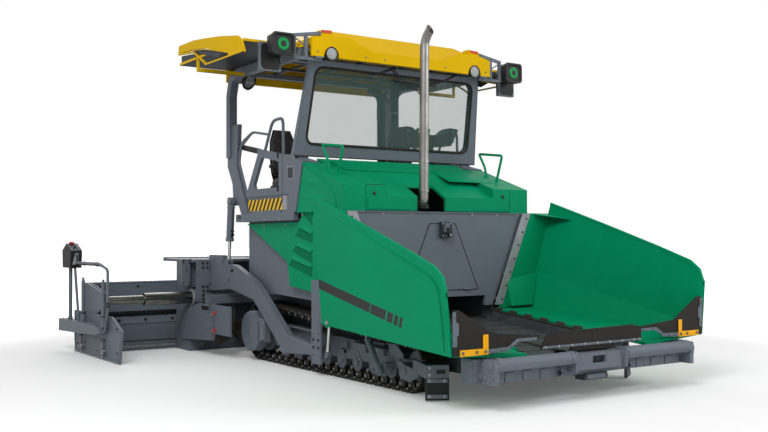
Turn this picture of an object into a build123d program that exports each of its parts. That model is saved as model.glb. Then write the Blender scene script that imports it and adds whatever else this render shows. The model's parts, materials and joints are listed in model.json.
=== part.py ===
from build123d import *
import math
import os

# Asphalt paver on crawler tracks, millimetres.
# X runs across (the machine's left is +X), Y along (the hopper is at -Y, the screed at +Y), Z up from the ground.

# ---- overall ----
front_reach = 3250            # drawing datum to the push rollers' front
rear_reach = 3650             # drawing datum to the rear of the screed's end beams
length_shift = (front_reach - rear_reach) / 2

# ---- crawler tracks ----
track_x = 1013
track_width = 305
idler_y = -1915
idler_radius = 245            # over the shoes
sprocket_y = 1090
sprocket_radius = 350         # over the shoes
shoe_count = 52
shoe_share = 0.84             # share of the pitch that a shoe covers
pad_height = 28
shoe_plate = 30
rail_height = 48
rail_width = 40
rail_spread = 75              # track centre to each link rail
roller_radius = 75
roller_count = 8
roller_gap = 0.4

# ---- chassis ----
chassis_half = 760
chassis_plate = 30
chassis_low = 180
chassis_front = -2750
chassis_rear = 1500
deck_low = 1640
deck_top = 1732

# ---- hopper ----
hinge_x = 725
hinge_rear_y = -950
hinge_rear_z = 650
floor_slope = 0.095
hopper_front = -3060
conveyor_drop = 100
conveyor_front = -2930
conveyor_deck = 20
slat_height = 16
bulkhead_top = 1722
bulkhead_top_half = 1190
bulkhead_plate = 40
tunnel_half = 600
tunnel_top = 800
wing_gap = 14
wing_panel = 25
hatch_plate = 4

# ---- hood, side panels and platform ----
hood_half = 980
hood_low = 1730
hood_hinge_y = 70
hood_hinge_z = 2300
body_half = 1257
hood_front = -936
hood_rear = 60
hood_front_top = 1990
hood_rear_top = 2330
hood_sheet = 20
trough_drop = 110
exhaust_radius = 50
exhaust_bend_z = 1790
platform_rear = 1520
side_x = 1270
side_wall = 40

# ---- roof ----
roof_half = 1250
roof_front = -300
roof_rear = 1850
roof_low = 3400
roof_top = 3860
roof_beam_z = 3480
roof_sheet = 30
post_size = 100
post_x = 1200
post_y = 1790
extension_reach = 1930        # middle to the extension's outer side
extension_sheet = 25

# ---- screed ----
tow_x = 1250
tow_plate = 60
tow_pin_y = -440
tow_pin_z = 253
screed_half = 1500
screed_front = 2410
screed_rear = 2860
screed_top = 1170
arm_mount_y = 2284
walkway_rear = 3330
tube_y = 2364
tube_z = 690
tube_outer_radius = 77
tube_inner_radius = 50
tube_gap = 1
stage_step = 2120
extension_end = 2680
extension_front = 2880
extension_depth = 430
extension_inner = 1165

# ---- screed lift and wing cylinders ----
lift_top_y = 1690
lift_top_z = 1900
lift_eye_y = 1760
lift_eye_z = 1160
lift_barrel_length = 495
lift_barrel_radius = 45
lift_rod_radius = 20
wing_pin = (1256, -1584, 163)    # foot of the wing cylinder
wing_eye = (1212, -1275, 510)    # eye under the wing
wing_barrel_length = 402
wing_barrel_radius = 31
wing_rod_radius = 17
ball_radius = 36
rod_gap = 1

# ---- auger ----
auger_y = 1900
auger_z = 370
auger_radius = 240
auger_pitch = 320
auger_inner = 80
auger_outer = 1380
auger_shaft = 50

# ---- push rollers ----
push_y = -3190
push_z = 395
push_radius = 60
push_inner = 330
push_outer = 1205
push_pivot_y = -3010
beam_low = 235

# ---- running gaps ----
seat_gap = 0.3
bearing_gap = 0.4
running_gap = 6

nodes = {}


def prism_x(points, start, end):
    """Outline of (y, z) points drawn along X."""
    face = Plane.YZ.offset(start) * make_face(Polyline(*points, close=True))
    return extrude(face, amount=end - start)


def prism_y(points, start, end):
    """Outline of (x, z) points drawn along Y."""
    face = Plane.XZ.offset(-end) * make_face(Polyline(*points, close=True))
    return extrude(face, amount=end - start)


def prism_z(points, start, end):
    """Outline of (x, y) points drawn along Z."""
    face = Plane.XY.offset(start) * make_face(Polyline(*points, close=True))
    return extrude(face, amount=end - start)


def block(x_range, y_range, z_range):
    """Box between three pairs of limits."""
    size = [high - low for low, high in (x_range, y_range, z_range)]
    middle = [(high + low) / 2 for low, high in (x_range, y_range, z_range)]
    return Pos(*middle) * Box(*size)


def rod(start, end, radius, sides=0):
    """Bar between two points: round, or with flat sides where a number is given."""
    axis = Vector(*end) - Vector(*start)
    base = Plane(origin=start, z_dir=axis)
    if sides:
        return extrude(base * RegularPolygon(radius, sides), amount=axis.length)
    return base * Cylinder(radius, axis.length, align=(Align.CENTER, Align.CENTER, Align.MIN))


def disc_x(centre, radius, start, end, sides=0):
    """Disc about an axis along X, centre given as (y, z)."""
    return rod((start, *centre), (end, *centre), radius, sides)


def rounded_path(points, bend):
    """Points of a path whose corners are cut twice, a distance from the corner."""
    path = [Vector(*points[0])]
    for before, corner, after in zip(points, points[1:], points[2:]):
        middle = Vector(*corner)
        back = (Vector(*before) - middle).normalized() * bend
        on = (Vector(*after) - middle).normalized() * bend
        path += [middle + back, middle + (back + on) * 0.25, middle + on]
    return path + [Vector(*points[-1])]


def bent_tube(points, radius, bend, sides=8):
    """Tube along straight runs joined by short chords round each bend."""
    path = Polyline(*rounded_path(points, bend))
    section = Plane(origin=path @ 0, z_dir=path % 0) * RegularPolygon(radius, sides)
    return sweep(section, path=path, transition=Transition.RIGHT)


def frame_plate(points, inner, start, end, corner):
    """Plate of (y, z) points with a window of rounded corners, drawn along X."""
    window = fillet(make_face(Polyline(*inner, close=True)).vertices(), corner)
    return prism_x(points, start, end) - extrude(Plane.YZ.offset(start) * window, amount=end - start)


def faceted(sections):
    """Solid of flat facets through sections that have the same number of corners."""
    faces = [make_face(Polyline(*sections[0], close=True)), make_face(Polyline(*sections[-1], close=True))]
    corners = len(sections[0])
    for near, far in zip(sections, sections[1:]):
        for side in range(corners):
            after = (side + 1) % corners
            faces.append(make_face(Polyline(near[side], near[after], far[after], close=True)))
            faces.append(make_face(Polyline(near[side], far[after], far[side], close=True)))
    return Solid(Shell([piece.face() for piece in faces]))


def mirrored(solid):
    """The piece as drawn together with its mirror on the right."""
    return solid + mirror(solid, about=Plane.YZ)


def both_sides(name, solid):
    """The left piece as drawn and its mirror on the right, as two nodes."""
    nodes[f"{name}_left"] = solid
    nodes[f"{name}_right"] = mirror(solid, about=Plane.YZ)


# ---- tracks ----
track_angle = math.atan2(sprocket_radius - idler_radius, sprocket_y - idler_y)
straight_run = sprocket_y - idler_y
idler_arc = idler_radius * (math.pi - 2 * track_angle)
sprocket_arc = sprocket_radius * (math.pi + 2 * track_angle)
loop_length = 2 * straight_run + idler_arc + sprocket_arc
link_depth = pad_height + shoe_plate + rail_height


def loop_point(distance, depth):
    """Point (y, z) of the track loop at a distance along its outside and a depth below it."""
    distance = distance % loop_length
    if distance < straight_run:
        return (sprocket_y - distance, depth)
    distance -= straight_run
    if distance < idler_arc:
        angle = -math.pi / 2 - distance / idler_radius
        radius = idler_radius - depth
        return (idler_y + radius * math.cos(angle), idler_radius + radius * math.sin(angle))
    distance -= idler_arc
    up = math.pi / 2 + 2 * track_angle
    if distance < straight_run:
        radius = idler_radius - depth
        return (
            idler_y + radius * math.cos(up) + distance * math.cos(2 * track_angle),
            idler_radius + radius * math.sin(up) + distance * math.sin(2 * track_angle),
        )
    angle = up - (distance - straight_run) / sprocket_radius
    radius = sprocket_radius - depth
    return (sprocket_y + radius * math.cos(angle), sprocket_radius + radius * math.sin(angle))


def loop_ring(outer, inner, start, end, stations):
    """Plain ring of the loop between two depths."""
    step = loop_length / stations
    outside = [loop_point((i + 0.5) * step, outer) for i in range(stations)]
    inside = [loop_point((i + 0.5) * step, inner) for i in range(stations)]
    return prism_x(outside, start, end) - prism_x(inside, start, end)


def track():
    """Closed loop of shoes on two link rails."""
    pitch = loop_length / shoe_count
    outline = []
    for shoe in range(shoe_count):
        first = shoe * pitch
        last = first + pitch * shoe_share
        outline += [loop_point(first, pad_height), loop_point(first, 0)]
        outline += [loop_point(last, 0), loop_point(last, pad_height)]
    inside = [loop_point(shoe * pitch, pad_height + shoe_plate) for shoe in range(shoe_count)]
    low = track_x - track_width / 2
    high = track_x + track_width / 2
    belt = prism_x(outline, low, high) - prism_x(inside, low, high)
    for side in (-1, 1):
        middle = track_x + side * rail_spread
        belt += loop_ring(
            pad_height + shoe_plate - 6, link_depth, middle - rail_width / 2, middle + rail_width / 2, 30
        )
    return belt


def track_frame():
    """Roller beam with rollers, idler, sprocket, drive cover, front guard, scraper and cross beams."""
    beam_half = 85
    low = track_x - beam_half
    high = track_x + beam_half
    beam_low = 200
    frame = prism_x([(-1700, beam_low), (-1700, 345), (500, 440), (800, 440), (800, beam_low)], low, high)
    roller_z = link_depth + roller_gap + roller_radius
    for index in range(roller_count):
        y = -1560 + index * 300
        frame += disc_x((y, roller_z), roller_radius, track_x - 100, track_x + 100, 12)
    idler = idler_radius - link_depth - roller_gap
    sprocket = sprocket_radius - link_depth - roller_gap
    frame += disc_x((idler_y, idler_radius), idler, track_x - 45, track_x + 45, 18)
    frame += block((track_x - 70, track_x + 70), (idler_y - 40, -1690), (210, 300))
    frame += disc_x((sprocket_y, sprocket_radius), sprocket, track_x - 45, track_x + 45, 24)
    frame += block((track_x - 70, track_x + 70), (790, sprocket_y), (230, 420))
    cover_radius = 232
    cover_x = 1290
    frame += disc_x((sprocket_y, sprocket_radius), 190, track_x, cover_x, 24)
    frame += disc_x((sprocket_y, sprocket_radius), cover_radius, track_x + track_width / 2 + 12, cover_x, 32)
    guard = [(-1790, 290), (-1860, 290), (-1900, 262), (-2112, 232), (-2120, 176), (-1985, 112), (-1835, 130)]
    guard_x = track_x + track_width / 2 + 10
    frame += prism_x(guard, guard_x, guard_x + 22)
    frame += block((track_x + 60, guard_x + 1), (-1880, -1800), (215, 275))
    for y in (-1200, 500):
        frame += block((chassis_half, track_x), (y - 110, y + 110), (240, 400))
    arm = [(guard_x, -2040), (guard_x + 22, -2040), (guard_x + 22, -2108), (1322, -2392), (1140, -2500), (1130, -2484), (1294, -2386), (guard_x, -2112)]
    frame += prism_z(arm, 205, 322)
    frame += prism_z([(1322, -2392), (1140, -2500), (1130, -2484), (1312, -2376)], 12, 230)
    lug_x = wing_pin[0] - ball_radius - 26
    frame += block((track_x + beam_half - 10, lug_x + 16), (wing_pin[1] - 38, wing_pin[1] + 38), (205, 250))
    frame += block((lug_x, lug_x + 16), (wing_pin[1] - 38, wing_pin[1] + 38), (wing_pin[2] - 38, 250))
    frame += disc_x(wing_pin[1:], 14, lug_x + 15, wing_pin[0] - ball_radius - bearing_gap, 10)
    return frame


both_sides("track", track())
both_sides("track_frame", track_frame())


# ---- hopper and chassis ----
def hinge_z(y):
    """Height of the wing hinge line, which falls towards the front."""
    return hinge_rear_z + floor_slope * (y - hinge_rear_y)


def conveyor_z(y):
    """Top of the conveyor's deck."""
    return hinge_z(y) - conveyor_drop


body_outer = 1150
body_start = hinge_rear_y + bulkhead_plate + seat_gap
shelf_low = 860


def chassis():
    """Main side plates, belly, shelf under the engine and the body sides that carry the deck."""
    step_z = hinge_z(hinge_rear_y) - 60
    outline = [
        (chassis_front, 250),
        (chassis_front + 250, chassis_low),
        (chassis_rear, chassis_low),
        (chassis_rear, 900),
        (body_start, 900),
        (body_start, step_z),
        (chassis_front, hinge_z(chassis_front) - 60),
    ]
    frame = mirrored(prism_x(outline, chassis_half - chassis_plate, chassis_half))
    inner = chassis_half - chassis_plate + 1
    frame += block((-inner, inner), (chassis_front + 250, chassis_rear), (chassis_low, chassis_low + 20))
    body_side = [(body_start, 700), (-300, 760), (905, 804), (1400, 1000), (1400, deck_low - seat_gap), (body_start, deck_low - seat_gap)]
    frame += mirrored(prism_x(body_side, body_outer - chassis_plate, body_outer))
    frame += block((-body_outer, body_outer), (body_start, 1400), (shelf_low, shelf_low + 40))
    frame += block((-body_outer, body_outer), (1370, 1400), (shelf_low, deck_low - seat_gap))
    frame += block((-100, 100), (push_pivot_y - 60, chassis_front + 300), (chassis_low + 19, beam_low - bearing_gap))
    return frame


nodes["chassis_frame"] = chassis()
nodes["engine_block"] = block((-480, 480), (-600, 20), (shelf_low + 40 + seat_gap, exhaust_bend_z - exhaust_radius - seat_gap))

knuckle_radius = 22
knuckle_length = 120
knuckle_gap = 0.4
knuckle_count = 16
knuckle_start = hinge_rear_y - 40


def knuckle(index):
    """One barrel of the wing hinge, counted from the rear."""
    rear = knuckle_start - index * (knuckle_length + knuckle_gap)
    front = rear - knuckle_length
    return rod((hinge_x, rear, hinge_z(rear)), (hinge_x, front, hinge_z(front)), knuckle_radius, 8)


def knuckle_tab(index, start, end):
    """Flat web that joins a barrel to the plate beside it."""
    rear = knuckle_start - index * (knuckle_length + knuckle_gap) - 8
    front = rear - knuckle_length + 16
    corners = [(rear, hinge_z(rear) - 14), (front, hinge_z(front) - 14), (front, hinge_z(front) - 2), (rear, hinge_z(rear) - 2)]
    return prism_x(corners, start, end)


def hopper_floor():
    """Deck under the conveyors, with the ledges and hinge barrels that carry the wings."""
    outer = chassis_half - chassis_plate - seat_gap
    rear = chassis_rear - 40
    deck_under = conveyor_deck + slat_height + 24
    deck = prism_x(
        [
            (conveyor_front, conveyor_z(conveyor_front) - deck_under),
            (rear, conveyor_z(rear) - deck_under),
            (rear, conveyor_z(rear) - deck_under + 20),
            (conveyor_front, conveyor_z(conveyor_front) - deck_under + 20),
        ],
        -outer,
        outer,
    )
    ledge_rear = hinge_rear_y - 20
    ledge = prism_x(
        [
            (conveyor_front, conveyor_z(conveyor_front) - deck_under),
            (ledge_rear, conveyor_z(ledge_rear) - deck_under),
            (ledge_rear, hinge_z(ledge_rear) - 6),
            (conveyor_front, hinge_z(conveyor_front) - 6),
        ],
        tunnel_half + 60,
        hinge_x - knuckle_radius - 8,
    )
    for index in range(0, knuckle_count, 2):
        ledge += knuckle(index)
        ledge += knuckle_tab(index, hinge_x - knuckle_radius - 12, hinge_x)
    carrier = block((-270, 270), (hopper_front - 50, conveyor_front + 20), (436, 446))
    carrier += block((-270, 270), (conveyor_front, conveyor_front + 20), (conveyor_z(conveyor_front) - 55, 446))
    return deck + mirrored(ledge) + carrier


nodes["hopper_floor"] = hopper_floor()


def conveyor():
    """One slat conveyor: carrying deck with its cross bars."""
    start = conveyor_front + 40
    end = chassis_rear - 60
    low_x = 25
    high_x = tunnel_half + 50
    under = slat_height + 24 - seat_gap + conveyor_deck - 20
    band = prism_x(
        [
            (start, conveyor_z(start) - under),
            (end, conveyor_z(end) - under),
            (end, conveyor_z(end) - slat_height),
            (start, conveyor_z(start) - slat_height),
        ],
        low_x,
        high_x,
    )
    bar_pitch = 240
    bar_width = 40
    for index in range(int((end - start - 60) / bar_pitch)):
        y = start + 60 + index * bar_pitch
        band += prism_x(
            [
                (y, conveyor_z(y) - slat_height - 2),
                (y + bar_width, conveyor_z(y + bar_width) - slat_height - 2),
                (y + bar_width, conveyor_z(y + bar_width)),
                (y, conveyor_z(y)),
            ],
            low_x,
            high_x,
        )
    return band


nodes["slat_conveyors"] = mirrored(conveyor())


def bulkhead():
    """Front wall of the tractor behind the hopper, with its hatch."""
    low = 690
    half_low = 713
    rear = hinge_rear_y + bulkhead_plate
    outline = [(-half_low, low), (half_low, low), (bulkhead_top_half, bulkhead_top), (-bulkhead_top_half, bulkhead_top)]
    wall = prism_y(outline, hinge_rear_y, rear)
    wall -= block((-tunnel_half, tunnel_half), (hinge_rear_y - 10, rear + 10), (low - 10, tunnel_top))
    hatch = [(-493, 875), (493, 875), (174, 1596), (-174, 1596)]
    wall += prism_y(hatch, hinge_rear_y - hatch_plate, hinge_rear_y + 1)
    return wall


nodes["hopper_bulkhead"] = bulkhead()

# Wing corners (x, z) at the rear and at the front, in the same order:
# hinge top, floor edge, kink, inner top, outer top, outer bottom, hinge underside
wing_rear_y = hinge_rear_y - wing_gap
wing_front_y = hopper_front - 20
wing_edge = hinge_x + knuckle_radius + 5
wing_rear = [(wing_edge, 646), (1190, 655), (1340, 1065), (1604, 1845), (1630, 1845), (1530, 590), (wing_edge, 606)]
wing_front = [(wing_edge, 449), (1530, 500), (1560, 560), (1616, 1130), (1642, 1130), (1585, 478), (wing_edge, 421)]
wing_tops = [(wing_rear_y, 1845), (-1800, 1583), (-2610, 1318), (-2930, 1205), (-3040, 1120), (wing_front_y, 1000)]
lug_x = wing_eye[0] + 27
lug_plate = 18


def wing_section(y, top):
    """Corners of the wing's section at a station, its top edge at the given height."""
    share = (y - wing_rear_y) / (wing_front_y - wing_rear_y)
    section = []
    for (rear_x, rear_z), (front_x, front_z) in zip(wing_rear, wing_front):
        section.append([rear_x + (front_x - rear_x) * share, y, rear_z + (front_z - rear_z) * share])
    for corner in section[3:5]:
        corner[2] = top
    return [tuple(corner) for corner in section]


def hopper_wing():
    """Wing with sloping inner wall, floor, rear panel, hinge barrels and the lug for its cylinder."""
    wing = faceted([wing_section(y, top) for y, top in wing_tops])
    wing += prism_y(
        [(775, 655), (bulkhead_top_half + 5, bulkhead_top), (1600, bulkhead_top), (1345, 1060), (1195, 650)],
        wing_rear_y - wing_panel,
        wing_rear_y,
    )
    for index in range(1, knuckle_count, 2):
        wing += knuckle(index)
        wing += knuckle_tab(index, hinge_x, wing_edge + 20)
    lug = [
        (wing_eye[1] - 60, 600),
        (wing_eye[1] - 32, wing_eye[2] - 20),
        (wing_eye[1] + 32, wing_eye[2] - 20),
        (wing_eye[1] + 60, 600),
    ]
    wing += prism_x(lug, lug_x + 6, lug_x + 6 + lug_plate)
    wing += disc_x((wing_eye[1], wing_eye[2]), 24, lug_x, lug_x + 8, 12)
    return wing


both_sides("hopper_wing", hopper_wing())


def wing_flap():
    """Rubber apron at the wing's front with its bolted strip and width marker."""
    plate = 14
    outline = [
        (1567, 483), (1567, 855), (1505, 855), (1150, 644), (600, 600), (657, 565), (890, 565), (995, 500), (1200, 480),
    ]
    back = wing_front_y - seat_gap
    flap = prism_y(outline, back - plate, back)
    strip = [(1200, 484), (1200, 516), (985, 520), (880, 582), (662, 582), (672, 566), (872, 566), (978, 502)]
    flap += prism_y(strip, back - plate - 6, back - plate + 1)
    marker = [(1505, 478), (1505, 530), (1257, 530), (1257, 643), (1203, 643), (1203, 478)]
    flap += prism_y(marker, back - plate - 10, back - plate + 1)
    return flap


both_sides("wing_flap", wing_flap())


def front_apron():
    """Rubber centre flap in front of the hopper."""
    front = hopper_front - 68
    flap = prism_y([(-550, 617), (-640, 480), (640, 480), (640, 609), (520, 636)], front, front + 16)
    flap += block((-270, 270), (front, front + 16), (450, 482))
    flap += block((-270, 270), (front, hopper_front - 20), (446 + seat_gap, 456))
    return flap


nodes["front_apron"] = front_apron()


# ---- wing cylinders ----
def towards(start, end, distance):
    """Point on the line from start to end, a distance along it."""
    line = (Vector(*end) - Vector(*start)).normalized()
    return tuple(Vector(*start) + line * distance)


def wing_barrel():
    """Barrel of the cylinder that lifts a wing, bored for its rod."""
    far = towards(wing_pin, wing_eye, wing_barrel_length)
    barrel = rod(wing_pin, far, wing_barrel_radius, 16)
    barrel -= rod(towards(wing_pin, wing_eye, 40), towards(wing_pin, wing_eye, 600), wing_rod_radius + rod_gap, 16)
    for radius, reach in ((36, 12), (30, 22), (6, ball_radius)):
        barrel += disc_x(wing_pin[1:], radius, wing_pin[0] - reach, wing_pin[0] + reach, 12)
    return barrel


def wing_rod():
    """Rod of the wing cylinder with its eye."""
    shaft = rod(towards(wing_pin, wing_eye, 60), wing_eye, wing_rod_radius, 16)
    return shaft + disc_x(wing_eye[1:], 26, wing_eye[0] - 11, wing_eye[0] + 11, 16)


both_sides("wing_barrel", wing_barrel())
both_sides("wing_rod", wing_rod())


# ---- push rollers ----
def push_beam():
    """Swinging cross beam with end brackets, roller brackets and a centre box."""
    beam = block((-1180, 1180), (-3130, push_pivot_y), (beam_low, beam_low + 90))
    beam += block((-305, 305), (-3200, -3010), (275, 425))
    beam -= block((-80, 80), (-3210, -3140), (335, 395))
    outer_bracket = block((push_outer + bearing_gap, push_outer + 45), (-3240, push_pivot_y), (beam_low, 438))
    inner_bracket = block((push_inner - 24, push_inner - bearing_gap), (-3240, -3110), (275, 450))
    end_box = block((1170, 1330), (-3060, -2900), (beam_low, 438))
    return beam + mirrored(outer_bracket) + mirrored(inner_bracket) + mirrored(end_box)


nodes["push_beam"] = push_beam()


def push_roller():
    """Roller that bears on the truck's tyres, with a collar at each end."""
    roller = disc_x((push_y, push_z), push_radius - 5, push_inner, push_outer, 24)
    roller += disc_x((push_y, push_z), push_radius, push_inner, push_inner + 40, 24)
    roller += disc_x((push_y, push_z), push_radius, push_outer - 55, push_outer, 24)
    return roller


both_sides("push_roller", push_roller())


# ---- hood, side panels, exhaust ----
def hood_top(y):
    """Height of the hood's top line."""
    return hood_front_top + (hood_rear_top - hood_front_top) * (y - hood_front) / (hood_rear - hood_front)


hood_slope = math.degrees(math.atan2(hood_rear_top - hood_front_top, hood_rear - hood_front))


hood_hinges = (-600, 600)


def hood():
    """Sloping lid over the engine, open below and behind, with trough, long louvres and the exhaust notch."""
    outline = [(hood_front, hood_low), (hood_front, hood_front_top), (hood_rear, hood_rear_top), (hood_rear, hood_low)]
    lid = prism_x(outline, -hood_half, hood_half)
    trough_rear = -420
    trough_z = hood_front_top - trough_drop
    lid -= prism_x(
        [
            (hood_front - 5, trough_z),
            (hood_front - 5, hood_front_top + 60),
            (trough_rear, hood_top(trough_rear) + 20),
            (trough_rear, hood_top(trough_rear)),
        ],
        -740,
        740,
    )
    inside = [
        (hood_front + hood_sheet, hood_low - 5),
        (hood_front + hood_sheet, trough_z - hood_sheet),
        (trough_rear, hood_top(trough_rear) - hood_sheet - 8),
        (hood_rear + 5, hood_rear_top - hood_sheet - 8),
        (hood_rear + 5, hood_low - 5),
    ]
    lid -= prism_x(inside, -hood_half + hood_sheet, hood_half - hood_sheet)
    lid -= block((-320, 50), (hood_front - 20, -690), (hood_low - 10, hood_rear_top))
    for index in range(5):
        y = -380 + index * 75
        lid += Pos(-330, y, hood_top(y) + 4) * Rot(hood_slope, 0, 0) * Box(1150, 34, 26)
    for x in hood_hinges:
        lid += block((x - 40, x + 40), (hood_rear - 12, hood_hinge_y), (hood_hinge_z - 7, hood_hinge_z + 7))
        lid += disc_x((hood_hinge_y, hood_hinge_z), 10, x - 40, x + 40, 8)
    return lid


nodes["hood"] = hood()
console_top_front = 2280
console_top_rear = 2385
console_front_low = 17
console_front_top = -128


def side_panel():
    """Fender beside the hood: hollow shoulder box and ribbed side plate."""
    inner = hood_half + running_gap
    low = bulkhead_top + seat_gap
    outline = [
        (hood_front, low),
        (hood_front, hood_front_top),
        (console_front_top, hood_top(console_front_top)),
        (console_front_low, 1745),
        (console_front_low, low),
    ]
    panel = prism_x(outline, inner, body_half)
    inside = [
        (hood_front + 25, low - 5),
        (hood_front + 25, hood_front_top - 28),
        (console_front_top - 30, hood_top(console_front_top) - 35),
        (console_front_low - 35, 1745),
        (console_front_low - 35, low - 5),
    ]
    panel -= prism_x(inside, inner + 20, body_half - 20)
    skirt = [(-880, hood_low + 10), (-433, 854), (154, 915), (320, 1166), (1350, 1616), (60, 1622), (-20, 1700), (-20, hood_low + 10)]
    panel += prism_x(skirt, 1180, 1200)
    panel += block((1180, body_half - 10), (-900, -60), (low, low + 25))
    for index in range(4):
        z = 1080 + index * 150
        front = -433 - (z - 854) * 0.5 + 60
        panel += prism_x([(front, z), (front + 30, z + 36), (60, z + 36), (30, z)], 1195, 1222)
    feet = (-401, -580)
    loop = [(feet[0], hood_top(feet[0]) - 10), (-371, 2288), (-264, 2454), (-683, 2404), (feet[1], hood_top(feet[1]) - 10)]
    panel += bent_tube([(1100, y, z) for y, z in loop], 14, 30)
    return panel


nodes["side_panels"] = mirrored(side_panel())


def exhaust():
    """Upright tail pipe with a mitred mouth, standing in the hood's notch."""
    points = [(-248, -560, exhaust_bend_z), (-248, -945, exhaust_bend_z), (-166, -862, 3590), (-145, -930, 3690)]
    return bent_tube(points, exhaust_radius, 70, 16)


nodes["exhaust_pipe"] = exhaust()


# ---- operator's platform ----
def platform():
    """Deck with its side beams, rear beam, front wall and the guide rail of the operating console."""
    deck = block((-side_x, side_x), (80, platform_rear), (deck_low, deck_low + 30))
    deck += mirrored(block((side_x - 60, side_x), (70, 1381), (deck_low, deck_top)))
    deck += block((-side_x, side_x), (platform_rear - 40, platform_rear), (deck_low, deck_top))
    deck += block((-1040, 1040), (80, 100), (deck_low + 10, 2280))
    deck += block((-1040, 1040), (99, 130), (2120, 2160))
    ear = 40 + bearing_gap
    for x in hood_hinges:
        for start in (x - ear - 18, x + ear):
            deck += disc_x((hood_hinge_y, hood_hinge_z), 10, start, start + 18, 8)
            deck += block((start, start + 18), (hood_hinge_y, 100), (hood_hinge_z - 30, hood_hinge_z + 8))
    return deck


nodes["operator_platform"] = platform()


def console_top(y):
    """Height of the side console's sloping top."""
    return console_top_front + (console_top_rear - console_top_front) * (y + 120) / 450


def side_console():
    """Side wall of the stand: front console, sill box, gate plate with its window, and hoop rail."""
    outer = side_x
    inner = side_x - side_wall
    base = deck_top + seat_gap
    wall = prism_x([(25, base), (-120, console_top_front), (330, console_top_rear), (330, base)], inner - 180, outer)
    wall += block((inner - 40, outer), (325, 1180), (base, 1923))
    gate = frame_plate(
        [(325, 1920), (325, 2385), (921, 2490), (935, 2435), (1249, 1944), (1200, 1920)],
        [(420, 2020), (420, 2310), (840, 2385), (1080, 2020)],
        inner,
        outer,
        50,
    )
    rail_x = (inner + outer) / 2
    hoop = [(335, 2375), (350, 2800), (600, 2790), (790, 2455)]
    tail = [(690, 2640), (1105, 2707), (1382, 2574)]
    rails = bent_tube([(rail_x, y, z) for y, z in hoop], 16, 80)
    rails += bent_tube([(rail_x, y, z) for y, z in tail], 14, 60)
    return wall + gate + rails


nodes["side_consoles"] = mirrored(side_console())

seat_x = 870
seat_y = 780


def seat():
    """Driver's seat on its pedestal."""
    half = 230
    base = rod((seat_x, seat_y, deck_low + 30 + seat_gap), (seat_x, seat_y, 2060), 110, 12)
    cushion = block((seat_x - half, seat_x + half), (530, 1040), (2050, 2170))
    back = prism_x([(980, 2140), (1050, 2140), (1120, 2760), (1050, 2770)], seat_x - 188, seat_x + 188)
    return base + cushion + back


both_sides("seat", seat())


def console():
    """Transverse operating console that slides across the stand."""
    outline = [(355, 2551), (236, 2760), (430, 2790), (600, 2698), (900, 2698), (1040, 2805), (1158, 2797), (1040, 2587)]
    desk = prism_y(outline, 200, 420)
    desk += block((590, 710), (130 + bearing_gap, 220), (2060, 2600))
    desk += block((560, 740), (100 + bearing_gap, 140), (2160 + bearing_gap, 2200))
    return desk


nodes["operator_console"] = console()


def ducts():
    """Pipes that draw fumes from the auger tunnel up to the roof."""
    short = bent_tube([(743, 1310, deck_low + 30 + seat_gap), (743, 1310, 3340), (560, 1310, 3400)], 58, 60, 16)
    tall = rod((955, 1310, deck_low + 30 + seat_gap), (955, 1310, 3520), 58, 16)
    return short + tall


nodes["extraction_ducts"] = ducts()

# ---- windscreen, posts and roof ----
screen_foot = (54, 2489)
screen_head = (-111, 3324)
screen_lean = math.atan2(screen_foot[0] - screen_head[0], screen_head[1] - screen_foot[1])
screen_rise = math.hypot(screen_foot[0] - screen_head[0], screen_head[1] - screen_foot[1])
screen_normal = (0, -math.cos(screen_lean), -math.sin(screen_lean))
screen_plane = Plane(origin=(0, screen_foot[0], screen_foot[1]), x_dir=(1, 0, 0), z_dir=screen_normal)
frame_low = 140
frame_high = 78


def screen_window(spare):
    """Window outline in the windscreen's plane, grown by a margin."""
    low_half = 1144 + spare
    high_half = 1104 + spare
    top = screen_rise + spare
    corners = [(-low_half, -spare), (low_half, -spare), (high_half, top), (-high_half, top)]
    return fillet(make_face(Polyline(*corners, close=True)).vertices(), 110)


def windscreen_frame():
    """Leaning frame with a rounded window."""
    top = screen_rise + frame_high
    corners = [(-1285, -frame_low), (1285, -frame_low), (1180, top), (-1180, top)]
    outline = make_face(Polyline(*corners, close=True))
    frame = extrude(screen_plane * outline, amount=30, both=True)
    frame -= extrude(screen_plane * screen_window(0), amount=40, both=True)
    feet = [(60, console_top(60) + seat_gap), (104, console_top(104) + seat_gap), (100, 2390), (64, 2390)]
    return frame + mirrored(prism_x(feet, 1090, 1220))


nodes["windscreen_frame"] = windscreen_frame()
nodes["windscreen_glass"] = extrude(screen_plane * screen_window(-seat_gap), amount=5, both=True)
beam_front = -60


def roof_side():
    """One rear post that bends forward into the roof's side beam, with its foot, lift lug and arm."""
    half = post_size / 2
    bend = [(post_x, post_y, 2450), (post_x, post_y, roof_beam_z), (post_x, beam_front, roof_beam_z)]
    path = Polyline(*rounded_path(bend, 260))
    section = Plane(origin=path @ 0, z_dir=path % 0) * Rectangle(post_size, post_size)
    side = sweep(section, path=path, transition=Transition.RIGHT)
    foot = [
        (post_y + 70, 2850),
        (post_y - 230, 2850),
        (post_y - 190, 2330),
        (1290, deck_top + seat_gap),
        (1470, deck_top + seat_gap),
        (post_y + 69, 2342),
    ]
    side += prism_x(foot, post_x - 30, post_x + 22)
    side += prism_x([(1560, 2000), (1640, 1850), (1740, 1850), (1790, 2300), (1700, 2300)], post_x - 30, tow_x - lift_barrel_radius - 8)
    side += disc_x((lift_top_y, lift_top_z), 28, post_x - 30, tow_x - 36 - bearing_gap, 12)
    side += rod((post_x, 1640, 2590), (post_x, 945, 2458), 26, 10)
    return side


def roof_frame():
    """Both rear posts and side beams with the cross beams between them."""
    frame = mirrored(roof_side())
    for y in (300, 1500):
        frame += block((-post_x, post_x), (y - 40, y + 40), (roof_beam_z - 40, roof_beam_z + 20))
    return frame


nodes["roof_frame"] = roof_frame()


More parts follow.
